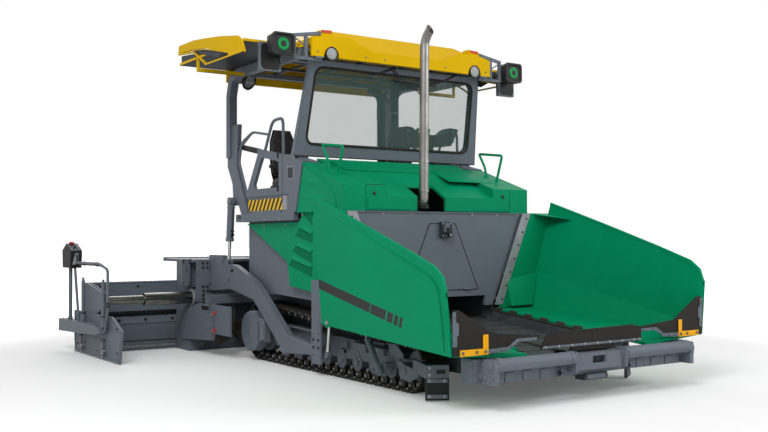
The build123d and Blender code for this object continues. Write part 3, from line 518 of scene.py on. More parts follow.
for name, lamp in studio["lamps"].items():
    light = bpy.data.lights.new(name, "AREA")
    light.shape = "DISK"
    light.size = lamp["size"]
    light.energy = lamp["power"]
    holder = bpy.data.objects.new(name, light)
    holder.location = lamp["at"]
    holder.rotation_euler = (Vector((0, 0, 1)) - Vector(lamp["at"])).to_track_quat("-Z", "Y").to_euler()
    scene.collection.objects.link(holder)
print("camera, floor and lamps")


# how pieces are made
def rounded(points, bend, steps=5):
    # corners of a bar's line turned into short curves
    path = [Vector(points[0])]
    for before, corner, after in zip(points, points[1:], points[2:]):
        middle = Vector(corner)
        back = middle + (Vector(before) - middle).normalized() * bend
        on = middle + (Vector(after) - middle).normalized() * bend
        for step in range(steps + 1):
            t = step / steps
            path.append(back * (1 - t) ** 2 + middle * 2 * t * (1 - t) + on * t ** 2)
    return path + [Vector(points[-1])]


def span(side, low, high):
    # a range across the machine, on one side of its middle
    return tuple(sorted((side * low, side * high)))


def around(count):
    return [2 * math.pi * step / count for step in range(count)]


class Piece:
    # one joined mesh, drawn in the drawing's millimetres
    def __init__(self, name, body, *looks, side=1):
        self.name = name
        self.body = body
        self.looks = looks
        self.side = side
        self.mesh = bmesh.new()

    def point(self, spot):
        x, y, z = spot
        return self.mesh.verts.new((x * self.side / 1000, (y + shift) / 1000, z / 1000))

    def face(self, corners, look=0, smooth=False):
        made = self.mesh.faces.new(corners)
        made.material_index = look
        made.smooth = smooth
        return made

    def skin(self, rings, look=0, smooth=True, caps=True, loop=True):
        # walls between rings of the same number of points
        made = [[self.point(spot) for spot in ring] for ring in rings]
        count = len(made[0])
        for near, far in zip(made, made[1:]):
            for index in range(count if loop else count - 1):
                after = (index + 1) % count
                self.face([near[index], near[after], far[after], far[index]], look, smooth)
        if caps:
            self.face(made[0][::-1], look)
            self.face(made[-1], look)
        return made

    def plate(self, outline, axis, start, end, look=0):
        where = {
            "x": lambda d, u, v: (d, u, v), "y": lambda d, u, v: (u, d, v), "z": lambda d, u,
            v: (u, v, d)
        }[axis]
        self.skin([[where(depth, u, v) for u, v in outline] for depth in (start, end)], look, False)

    def box(self, xs, ys, zs, look=0):
        self.plate(
            [(xs[0], ys[0]), (xs[1], ys[0]), (xs[1], ys[1]), (xs[0], ys[1])], "z", zs[0], zs[1], look
        )

    def slab(self, start, end, offsets, zs, look=0):
        # upright plate along a line in plan, between two offsets from it
        start, end = Vector(start), Vector(end)
        along = (end - start).normalized()
        across = Vector((along.y, -along.x))
        near, far = offsets
        self.plate(
            [
                tuple(spot)
                for spot in (
                    start + across * near, end + across * near, end + across * far, start + across * far
                )
            ],
            "z", zs[0], zs[1], look
        )

    def turned(self, centre, axis, profile, count=28, look=0, smooth=True, phase=0.0):
        # profile of (distance along the axis, radius)
        along = Vector(axis).normalized()
        across = along.orthogonal().normalized()
        up = along.cross(across)
        rings = []
        for distance, radius in profile:
            ring = []
            for index in range(count):
                angle = 2 * math.pi * (index + phase) / count
                ring.append(
                    Vector(centre) + along * distance
                    + (across * math.cos(angle) + up * math.sin(angle)) * radius
                )
            rings.append(ring)
        self.skin(rings, look, smooth, profile[0] != profile[-1])

    def tube(self, path, radius, count=14, look=0, bend=0, closed=False):
        path = rounded(path, bend) if bend else [Vector(spot) for spot in path]
        if closed:
            path = path[:-1]
        rings = []
        across = None
        last = len(path) - 1
        for index, spot in enumerate(path):
            before = path[index - 1] if index or closed else spot
            after = path[(index + 1) % len(path)] if index < last or closed else spot
            along = (after - before).normalized()
            across = (
                across - along * across.dot(along)
            ).normalized() if across else along.orthogonal().normalized()
            up = along.cross(across)
            size = radius(index / max(last, 1)) if callable(radius) else radius
            rings.append([spot + (across * math.cos(a) + up * math.sin(a)) * size for a in around(count)])
        if closed:
            rings.append(rings[0])
        self.skin(rings, look, True, caps=not closed)

    def bolts(self, spots, axis, size=13, look=0):
        # washer and six-sided head
        for spot in spots:
            self.turned(spot, axis, [(-1, size * 1.5), (size * 0.3, size * 1.5)], 16, look, False)
            self.turned(
                spot, axis, [(0, size), (size * 0.9, size), (size * 1.05, size * 0.75)], 6, look, False
            )

    def done(self, bevel=2.5, angle=32):
        bmesh.ops.recalc_face_normals(self.mesh, faces=self.mesh.faces)
        data = bpy.data.meshes.new(self.name)
        self.mesh.to_mesh(data)
        self.mesh.free()
        made = bpy.data.objects.new(self.name, data)
        scene.collection.objects.link(made)
        for look in self.looks:
            data.materials.append((finishes[look] if isinstance(look, str) else look).material)
        if bevel:
            data.shade_smooth()
            soften = made.modifiers.new("arris", "BEVEL")
            soften.width = bevel / 1000
            soften.segments = 2
            soften.limit_method = "ANGLE"
            soften.angle_limit = math.radians(angle)
            soften.harden_normals = True
        else:
            data.set_sharp_from_angle(angle=math.radians(angle))
        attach(made, self.body)
        known = [look for look in self.looks if look in slotNames.values()]
        return made


def both(name, body, *looks):
    # the same piece for the left and for the right
    for word, sign in sides.items():
        yield Piece(f"{name}_{word}", body.replace("SIDE", word), *looks, side=sign)


# crawler tracks
track = {
    "idler": (-1915, 245),
    "sprocket": (1090, 350),
    "middle": 1013,
    "half": 152,
    "shoes": 52,
    "rails": 75,
    "padShare": 0.42,
}


def loopSpot(distance):
    # point and inward direction on the outside of the loop
    idlerY, idlerRadius = track["idler"]
    sprocketY, sprocketRadius = track["sprocket"]
    run = sprocketY - idlerY
    lean = math.atan2(sprocketRadius - idlerRadius, run)
    front = idlerRadius * (math.pi - 2 * lean)
    rear = sprocketRadius * (math.pi + 2 * lean)
    distance = distance % (2 * run + front + rear)
    if distance < run:
        return Vector((0, sprocketY - distance, 0)), Vector((0, 0, 1))
    distance -= run
    if distance < front:
        angle = -math.pi / 2 - distance / idlerRadius
        out = Vector((0, math.cos(angle), math.sin(angle)))
        return Vector((0, idlerY, idlerRadius)) + out * idlerRadius, -out
    distance -= front
    up = math.pi / 2 + 2 * lean
    out = Vector((0, math.cos(up), math.sin(up)))
    if distance < run:
        ahead = Vector((0, math.cos(2 * lean), math.sin(2 * lean)))
        return Vector((0, idlerY, idlerRadius)) + out * idlerRadius + ahead * distance, -out
    angle = up - (distance - run) / sprocketRadius
    out = Vector((0, math.cos(angle), math.sin(angle)))
    return Vector((0, sprocketY, sprocketRadius)) + out * sprocketRadius, -out


def loopLength():
    run = track["sprocket"][0] - track["idler"][0]
    lean = math.atan2(track["sprocket"][1] - track["idler"][1], run)
    return 2 * run + track["idler"][1] * (math.pi - 2 * lean) + track["sprocket"][1] * (math.pi + 2 * lean)


def trackChain(piece):
    pitch = loopLength() / track["shoes"]
    for index in range(track["shoes"]):
        spot, inward = loopSpot((index + 0.42) * pitch)
        ahead = Vector((1, 0, 0)).cross(inward)

        def at(x, t, n):
            return spot + Vector((track["middle"] + x, 0, 0)) + ahead * t + inward * n

        def slab(xs, ts, ns, look, lip=0):
            rings = []
            for x in xs:
                rings.append(
                    [
                        at(x, ts[0], ns[0] + lip), at(x, ts[0] + lip, ns[0]), at(x, ts[1] - lip, ns[0]),
                        at(x, ts[1], ns[0] + lip), at(x, ts[1], ns[1]), at(x, ts[0], ns[1])
                    ]
                )
            piece.skin(rings, look, False)

        reach = pitch * track["padShare"]
        half = track["half"]
        slab((-half, half), (-reach, reach), (17, 30), 0, 3)
        for side in (-1, 1):
            # two road pads to a shoe, with a groove between them
            slab(sorted((side * 8, side * (half - 4))), (-reach + 5, reach - 5), (2.8, 18), 1, 5)
            # link plates and their pin ends
            for width, shift1, low in ((16, -0.06, 30), (12, 0.3, 36)):
                x = side * track["rails"] + (10 if width == 12 else -8)
                t = pitch * shift1
                rings = []
                for edge in (x - width / 2, x + width / 2):
                    rings.append(
                        [
                            at(edge, t - 30, low), at(edge, t + 30, low), at(edge, t + 38, 56),
                            at(edge, t + 30, 80), at(edge, t + 14, 96), at(edge, t - 14, 96),
                            at(edge, t - 30, 80), at(edge, t - 38, 56)
                        ]
                    )
                piece.skin(rings, 0, False)
            piece.turned(
                at(side * (track["rails"] + 22) - 6, pitch * 0.12, 62), (1, 0, 0), [(0, 15), (12, 15)],
                12, 2
            )
        for x in (-118, 118):
            piece.turned(at(x, 0, 29), inward, [(0, 13), (9, 13), (11, 10)], 6, 2, False)


for piece in both("trackChain", "tractor", "track_steel", "rubber", "pale_steel"):
    trackChain(piece)
    word = piece.name.split("_")[1]
    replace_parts(piece.done(0), "track_" + word)
print("tracks")

gear = {
    "rollerY": [-1560 + 300 * index for index in range(8)],
    "rollerZ": 181.4,
    "rollerRadius": 75.3,
    "coverY": 1090,
    "coverZ": 350,
    "coverFace": 1290,
}
for piece in both("runningGear", "tractor", "grey_paint", "pale_steel", "black_plastic"):
    for y in gear["rollerY"]:
        # double-flanged roller with its end cap
        for start, turn in ((915, 1), (1111, -1)):
            piece.turned(
                (start, y, gear["rollerZ"]), (turn, 0, 0),
                [
                    (-3, 42), (0, 60), (2, 88), (14, 88), (20, gear["rollerRadius"]),
                    (60, gear["rollerRadius"])
                ],
                32
            )
        piece.turned((1113, y, gear["rollerZ"]), (1, 0, 0), [(0, 44), (16, 40), (18, 24)], 24)
        piece.plate(
            [(y - 52, 202), (y - 34, 290), (y + 34, 290), (y + 52, 202), (y + 36, 182), (y - 36, 182)],
            "x", 1098, 1112
        )
        piece.bolts([(1112, y - 30, 214), (1112, y + 30, 214)], (1, 0, 0), 8, 1)
    y, z, face = gear["coverY"], gear["coverZ"], gear["coverFace"]
    piece.turned(
        (1176, y, z), (1, 0, 0),
        [(0, 236), (100, 236), (112, 228), (114.6, 214), (116, 60), (118, 52), (118.5, 0.5)], 72
    )
    piece.bolts(
        [
            (face + 1, y + 196 * math.cos(a), z + 196 * math.sin(a))
            for a in [math.pi * (k + 0.5) / 6 for k in range(12)]
        ],
        (1, 0, 0), 9
    )
    # front flange of the cover with its pale strip
    piece.plate(
        [(1232, 236), (1290, 262), (1290, 492), (1240, 512), (1176, 512), (1176, 236)], "y", 790, 900, 0
    )
    piece.plate([(1242, 262), (1288, 270), (1288, 486), (1242, 490)], "y", 782, 791, 1)
    piece.bolts([(1265, 782, 290), (1265, 782, 466)], (0, -1, 0), 9, 1)
    # side plate of the beam with its slotted hole, ribs and step
    piece.plate(
        [(-1690, 214), (-1690, 338), (-1300, 364), (480, 436), (770, 434), (770, 214)], "x", 1098, 1104
    )
    piece.plate(
        [
            (-760, 262), (-740, 250), (-660, 250), (-640, 262), (-640, 292), (-660, 304), (-740, 304),
            (-760, 292)
        ],
        "x", 1103, 1106, 2
    )
    for y in (-1500, -1180, -820, 160, 430):
        piece.plate([(y, 300), (y + 14, 300), (y + 14, 372), (y, 366)], "x", 1103, 1150)
    piece.plate([(-1000, 396), (420, 446), (420, 456), (-1000, 406)], "x", 1098, 1160)
    for y in (-1460, 470):
        piece.bolts([(1104, y, 330), (1104, y + 70, 334), (1104, y + 140, 336)], (1, 0, 0), 10, 1)
    # gusset and guard in front
    piece.plate(
        [(-1560, 345), (-1560, 420), (-1700, 420), (-1800, 340), (-1800, 300), (-1690, 300)], "x", 1120,
        1136
    )
    piece.plate([(-1700, 420), (-1560, 420), (-1560, 432), (-1700, 432)], "x", 1040, 1160)
    piece.turned((1197, -1900, 205), (1, 0, 0), [(0, 34), (8, 34), (10, 26)], 24, 0)
    # scraper: slotted arm, black blade and its clamping strips
    outer, inner = (1322, -2392), (1140, -2500)
    piece.slab(outer, inner, (-5, 0), (206, 322), 0)
    piece.slab(outer, inner, (-4, 0), (14, 205), 2)
    middle = [Vector(outer).lerp(Vector(inner), share) for share in (0.06, 0.94, 0.46, 0.84, 0.1, 0.9)]
    for low in (30, 168):
        piece.slab(middle[0], middle[1], (-10, -3), (low, low + 34), 0)
    piece.slab(middle[2], middle[3], (-7, -4), (246, 282), 2)
    for share, z in ((0.18, 300), (0.18, 238), (0.18, 185), (0.8, 185), (0.18, 47), (0.8, 47)):
        spot = Vector(outer).lerp(Vector(inner), share)
        piece.bolts(
            [(spot.x + (5 if z > 200 else 8) * 0.51, spot.y - (5 if z > 200 else 8) * 0.86, z)],
            (0.51, -0.86, 0), 10, 1
        )
    piece.done(2)
print("running gear")


# hopper
wing = {
    "tops": [(-964, 1845), (-1800, 1583), (-2610, 1318), (-2930, 1205), (-3040, 1120), (-3080, 1000)],
    "outerRear": 1630,
    "outerFront": 1642,
    "hem": 46,
    "hemProud": 5,
    "stripWidth": 120,
    "wall": -989,           # inner face of the rear wall
}


def wingOuter(y):
    share = (y + 964) / (-3080 + 964)
    return wing["outerRear"] + (wing["outerFront"] - wing["outerRear"]) * share


for piece in both("wingTrim", "wing_SIDE", "green_paint", "pale_steel", "grey_paint", "black_plastic"):
    # folded hem along the top edge
    rings = []
    for y, top in wing["tops"]:
        x = wingOuter(y)
        rings.append(
            [
                (x - 34, y, top - wing["hem"]), (x - 34, y, top + 2), (x - 24, y, top + 7),
                (x - 6, y, top + 7), (x + wing["hemProud"] - 4, y, top + 1),
                (x + wing["hemProud"] - 6, y, top - wing["hem"] * 0.8), (x - 10, y, top - wing["hem"])
            ]
        )
    piece.skin(rings, 0, False)
    # clamping strip of the rear seal and its bolts
    low, high = Vector((704, 0, 690)), Vector((1132, 0, 1716))
    width = Vector((wing["stripWidth"], 0, 0))
    piece.plate(
        [(spot.x, spot.z) for spot in (low, high, high + width, low + width * 0.94)], "y", -996, -988, 1
    )
    for index in range(7):
        spot = low.lerp(high, 0.06 + index * 0.147) + width * 0.5
        piece.bolts([(spot.x + 22, -996, spot.z)], (0, -1, 0), 8, 3)
    # kicker plate in the rear corner and the gusset shelf near the top
    wall = wing["wall"]
    piece.skin(
        [
            [(900, wall, 690), (1186, wall, 690), (1330, wall, 1040), (890, wall, 960)],
            [(900, -1060, 672), (1200, -1080, 680), (1322, -1010, 1010), (894, -1000, 930)]
        ],
        0, False
    )
    piece.skin(
        [
            [(1300, wall, 1716), (1582, wall, 1716), (1556, -1330, 1652)],
            [(1300, wall, 1708), (1580, wall, 1708), (1554, -1330, 1644)]
        ],
        0, False
    )
    # pressed line below the hem, on the outer face
    line = []
    for y, top in wing["tops"][:-1]:
        share = (y + 964) / (-3080 + 964)
        line.append((wingOuter(y) - 7.5 * (1 - share) - 3, y + (70 if y < -2600 else 0), top - 74))
    piece.tube(line + [(1632, -3004, 900), (1606, -3004, 640), (1590, -3004, 520)], 5, 8, 0, 30)
    # rolled front edge of the outer sheet
    piece.tube([(1585, -3078, 486), (1604, -3082, 700), (1622, -3082, 900), (1640, -3078, 1010)], 9, 10, 0)
    # locking lug at the rear lower corner
    piece.plate([(-1010, 600), (-1060, 560), (-1150, 580), (-1180, 640), (-1010, 660)], "x", 1520, 1534, 0)
    piece.turned((1530, -1090, 612), (1, 0, 0), [(0, 20), (22, 20), (26, 14)], 18, 1)
    piece.done(2)
for piece in both("flapTrim", "wing_SIDE", "grey_paint", "pale_steel"):
    front = -3104
    piece.plate(
        [
            (1200, 480), (1200, 520), (988, 525), (884, 588), (652, 588), (668, 560), (872, 560),
            (976, 496)
        ],
        "y", front, front + 5, 0
    )
    piece.bolts(
        [
            (700, front, 574), (830, front, 574), (950, front, 532), (1060, front, 509),
            (1160, front, 503)
        ],
        (0, -1, 0), 9
    )
    piece.bolts([(1236, front - 6, 505), (1330, front - 6, 505), (1476, front - 6, 505)], (0, -1, 0), 9)
    piece.plate(
        [
            (1530, 560), (1574, 560), (1574, 840), (1540, 840), (1540, 760), (1512, 745), (1512, 655),
            (1530, 640)
        ],
        "y", -3101, -3094, 0
    )
    piece.bolts([(1556, -3101, 600), (1556, -3101, 800)], (0, -1, 0), 10)
    piece.done(1.5)
apron = Piece("apronTrim", "tractor", "grey_paint", "pale_steel", "rubber")
apron.plate([(-630, 484), (630, 484), (628, 506), (-610, 506)], "y", -3136, -3128, 0)
apron.bolts([(x, -3136, 495) for x in (-590, -430, -270, -110, 50, 210, 370, 530, 606)], (0, -1, 0), 9, 1)
apron.plate([(-548, 614), (636, 607), (520, 634)], "y", -3131, -3128, 2)
apron.box((-4, 4), (-3130, -3128), (508, 620), 2)
apron.done(1.5)

bulkhead = {"hatch": -954, "plate": -950}
bulk = Piece("bulkheadTrim", "tractor", "grey_paint", "dark_paint", "pale_steel", "black_plastic")
face = bulkhead["hatch"]
# raised hatch with its seam, hinges and the latch box
hatch = [(-493, 875), (493, 875), (174, 1596), (-174, 1596)]
for start, end in zip(hatch, hatch[1:] + hatch[:1]):
    bulk.tube([(start[0], face - 1, start[1]), (end[0], face - 1, end[1])], 4, 8, 3)
bulk.box((-46, 96), (face - 46, face), (1446, 1612), 1)
bulk.box((-24, 30), (face - 88, face - 40), (1500, 1600), 0)
bulk.turned((4, face - 90, 1552), (0, 0, -1), [(0, 16), (70, 16), (84, 10)], 16, 3)
bulk.turned((62, face - 46, 1470), (0, -1, 0), [(0, 16), (16, 16), (20, 10)], 16, 2)
bulk.bolts([(-30, face - 46, 1464), (-30, face - 46, 1594), (80, face - 46, 1594)], (0, -1, 0), 7, 2)
for x in (-330, 330):
    bulk.turned((x - 45, face - 8, 880), (1, 0, 0), [(0, 11), (90, 11)], 14, 0)
bulk.bolts([(x, bulkhead["plate"], 1690) for x in (-1100, -780, -420, 420, 780, 1100)], (0, -1, 0), 9, 2)
bulk.bolts(
    [
        (x * s, bulkhead["plate"], z) for x,
        z in ((760, 760), (880, 1040), (1010, 1340)) for s in (-1, 1)
    ], (0, -1, 0),
    9, 2
)
bulk.plate([(-1190, 1706), (1190, 1706), (1190, 1722), (-1190, 1722)], "y", -958, bulkhead["plate"], 0)
bulk.done(2)
print("hopper trim")

# push rollers
push = {"axis": (-3190, 395), "start": 330.2, "bracket": 1254, "inner": 304}
for piece in both("pushRollerSkin", "push_roller_SIDE", "grey_paint", "track_steel"):
    rim = [(0, 44), (1, 58), (34, 58), (38, 55.2), (812, 55.2), (818, 58), (872, 58), (874.6, 44)]
    piece.turned((push["start"], *push["axis"]), (1, 0, 0), rim, 48)
    piece.done(0)
beam = Piece("pushBeamTrim", "push_beam", "grey_paint", "pale_steel", "black_plastic", "dark_paint")
for s in (-1, 1):
    bracket = [
        (-3242, 330), (-3250, 395), (-3225, 440), (-3150, 446), (-3090, 430), (-3060, 380),
        (-3060, 240), (-3120, 232), (-3180, 262), (-3228, 300)
    ]
    beam.plate(bracket, "x", *span(s, 1206, push["bracket"]))
    beam.turned((s * push["bracket"], *push["axis"]), (s, 0, 0), [(-2, 34), (10, 34), (14, 26)], 24, 0)
    beam.turned((s * push["bracket"], -3120, 290), (s, 0, 0), [(-2, 22), (8, 22), (11, 16)], 20, 0)
    beam.bolts([(s * push["bracket"], y, z) for y, z in ((-3210, 350), (-3090, 400))], (s, 0, 0), 11, 0)
    inner = [
        (-3242, 350), (-3244, 395), (-3220, 438), (-3150, 452), (-3105, 440), (-3105, 285),
        (-3160, 270), (-3215, 300)
    ]
    beam.plate(inner, "x", *span(s, 305, 328))
    beam.turned((s * push["inner"], *push["axis"]), (-s, 0, 0), [(-2, 36), (6, 36), (9, 28)], 24, 0)
    # ribbed end box with tow lug
    beam.box(span(s, 1180, 1326), (-3064, -3058), (250, 430))
    beam.turned((s * 1250, -3064, 300), (0, -1, 0), [(-3, 30), (26, 30), (30, 20)], 24, 0)
    beam.box(span(s, 1330, 1336), (-3050, -2910), (250, 424))
    beam.plate([(-3128, 236), (-3128, 322), (-3180, 300), (-3180, 246)], "x", *span(s, 420, 445))
    beam.turned((s * 432 - 14, -3160, 272), (1, 0, 0), [(0, 22), (28, 22)], 20, 3)
    for x in (560, 760, 960):
        beam.plate([(-3133, 240), (-3133, 318), (-3138, 318), (-3138, 240)], "x", *span(s, x, x + 90), 0)
beam.plate(
    [(-300, 280), (300, 280), (300, 420), (90, 420), (90, 330), (-90, 330), (-90, 420), (-300, 420)],
    "y", -3206, -3199
)
beam.box((-84, 84), (-3198, -3150), (326, 336), 2)
beam.box((-26, 26), (-3150, -3144), (336, 396), 3)
# tow hitch under the beam
beam.box((-129, 157), (-3150, -3030), (176, 236), 3)
beam.box((-100, 130), (-3156, -3146), (186, 226), 0)
beam.turned((140, -3120, 206), (0, -1, 0), [(0, 20), (34, 20), (38, 12)], 20, 3)
beam.box((-1168, 1168), (-3134, -3010), (325, 331))
beam.done(3)
print("push rollers")


# hood and side panels
hood = {"front": (-936, 1990), "rear": (60, 2330), "ridges": 5, "ridgeHalf": 575, "ridgeMiddle": -330}


def hoodTop(y):
    share = (y - hood["front"][0]) / (hood["rear"][0] - hood["front"][0])
    return hood["front"][1] + (hood["rear"][1] - hood["front"][1]) * share


slope = math.atan2(hood["rear"][1] - hood["front"][1], hood["rear"][0] - hood["front"][0])
lid = Piece("hoodTrim", "hood", "green_paint", "black_plastic", "pale_steel", "deep_green")
profile = [(-22, -2), (-19, 12), (-10, 21), (8, 22), (17, 14), (21, -2)]
for index in range(hood["ridges"]):
    y = -380 + index * 75
    z = hoodTop(y)
    rings = []
    for x, size in ((-1, 0.3), (-0.985, 0.8), (-0.96, 1), (0.96, 1), (0.985, 0.8), (1, 0.3)):
        ring = []
        for along, up in profile:
            a, b = along * size, up * size if up > 0 else up
            ring.append(
                (
                    hood["ridgeMiddle"] + x * (hood["ridgeHalf"] + 4),
                    y + a * math.cos(slope) - b * math.sin(slope),
                    z + a * math.sin(slope) + b * math.cos(slope)
                )
            )
        rings.append(ring)
    lid.skin(rings, 0, False)
    # painted shade: a deep green strip along the front foot of each ridge
    shade = []
    for x in (-905, 245):
        shade.append(
            [(x, y + a, hoodTop(y + a) + up) for a, up in ((-27, -2), (-25, 13), (-16, 14), (-16, -2))]
        )
    lid.skin(shade, 3, False)
# panel seams, catches and the raised right-hand cover
for x in (-330, 56):
    lid.tube([(x, -937, 1738), (x, -937, 1876)], 3, 6, 1)
lid.tube([(-980, -930, 1996), (-740, -930, 1996)], 3, 6, 1)
lid.plate([(460, 1745), (960, 1745), (960, 1868), (560, 1868)], "y", -941, -935, 0)
lid.plate([(-960, 1745), (-420, 1745), (-420, 1840), (-540, 1868), (-960, 1868)], "y", -941, -935, 0)
for x in (-880, 880):
    lid.turned((x, -941, 1905), (0, -1, 0), [(0, 18), (5, 18), (7, 12)], 20, 1)
lid.skin(
    [
        [
            (300, -700, hoodTop(-700) + 1), (960, -700, hoodTop(-700) + 1),
            (960, -90, hoodTop(-90) + 1), (360, -90, hoodTop(-90) + 1)
        ],
        [
            (330, -670, hoodTop(-670) + 14), (930, -670, hoodTop(-670) + 14),
            (930, -120, hoodTop(-120) + 14), (390, -120, hoodTop(-120) + 14)
        ]
    ],
    0, False
)
lid.done(3)

flank = {"fender": 1257, "panel": 1224}
for piece in both("sidePanelTrim", "tractor", "green_paint", "black_plastic", "pale_steel", "deep_green"):
    fender, panelFace = flank["fender"], flank["panel"]
    loop = [
        (-401, hoodTop(-401) - 12), (-371, 2288), (-264, 2454), (-683, 2404), (-580, hoodTop(-580) - 12)
    ]
    piece.tube([(1100, y, z) for y, z in loop], 15, 14, 0, 34)
    for y in (-401, -580):
        piece.turned(
            (1100, y, hoodTop(y) - 2), (0, -math.sin(slope), math.cos(slope)),
            [(0, 30), (8, 30), (12, 20)], 20
        )
    # raised body panel beside the wing, with its row of slanted wedges
    panel = [
        (-43, 1738), (-42, 1700), (150, 1480), (300, 1180), (241, 912), (-300, 862), (-425, 862),
        (-860, 1738)
    ]
    piece.plate(panel, "x", 1196, panelFace, 0)
    wedges = [
        [(-53, 1825), (-256, 1685), (-256, 1578), (2, 1729)],
        [(25, 1565), (-262, 1486), (-262, 1390), (115, 1466)]
    ]
    wedges += [
        [(98, 1367), (-256, 1288), (-256, 1168), (183, 1298)],
        [(183, 1214), (-256, 1128), (-256, 1021), (270, 1143)]
    ]
    for wedge in wedges:
        # painted shade: a deep green plate across each wedge's recess, below its raised lip
        piece.plate(wedge, "x", 1223, 1226, 3)
        crest, foot = wedge[0], wedge[1]
        piece.skin(
            [
                [
                    (panelFace, *crest), (panelFace, *foot), (panelFace, foot[0], foot[1] + 46),
                    (panelFace, crest[0] - 30, crest[1] + 34)
                ],
                [
                    (1240, *crest), (1244, *foot), (1226, foot[0], foot[1] + 44),
                    (1225, crest[0] - 30, crest[1] + 32)
                ]
            ],
            0, False
        )
    # shoulder of the fender: curved crease and two swept ribs
    piece.tube(
        [
            (fender, -60, 2270), (fender, -240, 2210), (fender, -520, 2080), (fender, -760, 1900),
            (fender, -800, 1760)
        ],
        12, 10, 0, 120
    )
    for index in range(2):
        z = 1810 + index * 170
        piece.skin(
            [
                [
                    (1256, -700 + index * 190, z), (1256, -520 + index * 190, z + 96),
                    (1256, -60, z + 120), (1256, -60, z + 40)
                ],
                [
                    (1266, -640 + index * 190, z + 22), (1264, -520 + index * 190, z + 70),
                    (1258, -90, z + 96), (1258, -90, z + 62)
                ]
            ],
            0, False
        )
    piece.plate([(-884, 1738), (-878, 1746), (-431, 862), (-438, 858)], "x", 1180, 1204, 0)
    piece.bolts(
        [(1200, 20, 1560), (1200, 20, 1200), (1200, 130, 980), (fender, -20, 2150)], (1, 0, 0), 9, 1
    )
    piece.bolts([(1200, 380, 1594), (1200, 900, 1594)], (1, 0, 0), 9, 2)
    piece.done(2)
print("hood and fenders")

# exhaust
exhaust = {
    "route": [(-248, -560, 1790), (-248, -945, 1790), (-166, -862, 3590), (-143, -936, 3700)],
    "radius": 50,
    "wall": 5,
    "bend": 80,
    "cut": 0.7,
}
pipe = Piece("exhaustPipe", "tractor", "pipe_steel", "black_plastic")
route = rounded(exhaust["route"], exhaust["bend"], 9)
rings = []
across = Vector((1, 0, 0))
for index, spot in enumerate(route):
    before, after = route[max(index - 1, 0)], route[min(index + 1, len(route) - 1)]
    along = (after - before).normalized()
    across = (across - along * across.dot(along)).normalized()
    up = along.cross(across)
    rings.append([(spot, across * math.cos(a) + up * math.sin(a), along) for a in around(40)])
mouth = rings[-1]
ahead = Vector((0.25, -0.9, 0.1)).normalized()
cut = [
    spot + out * exhaust["radius"] - along * exhaust["cut"] * exhaust["radius"] * max(
        -1, out.dot(ahead)
    ) for spot,
    out, along in mouth
]
lip = [
    spot + out * (
        exhaust["radius"] - exhaust["wall"]
    ) - along * exhaust["cut"] * exhaust["radius"] * max(-1, out.dot(ahead)) for spot,
    out, along in mouth
]
throat = [spot + out * (exhaust["radius"] - exhaust["wall"]) for spot, out, along in rings[-4]]
outside = [[spot + out * exhaust["radius"] for spot, out, along in ring] for ring in rings[:-1]]
pipe.skin(outside + [cut, lip, throat], 0, True)
for z, spread in ((1930, 6), (2240, 4)):
    share = (z - 1790) / 1800
    pipe.turned(
        (-248 + 82 * share, -945 + 83 * share, z), (82, 83, 1800),
        [(0, 50), (0, 50 + spread), (34, 50 + spread), (34, 50)], 40
    )
pipe.turned((-248, -945, 1792), (0, 0, 1), [(-40, 51), (-36, 56), (0, 56), (4, 51)], 36, 1)
pipe.done(0, 40)
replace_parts(bpy.data.objects["exhaustPipe"], "exhaust_pipe")
print("exhaust")


def gripBar(piece, left, y, half, width, inset, z, sway, look):
    # one raised bar of a grip plate
    rings = []
    for near, far, reach, height in ((0, width, half, z), (inset, width - inset, half - 4, z + 5)):
        front, rear = y - reach, y + reach
        rings.append(
            [
                (left + near + sway, front, height), (left + far + sway, front, height),
                (left + far - sway, rear, height), (left + near - sway, rear, height)
            ]
        )
    piece.skin(rings, look, False)


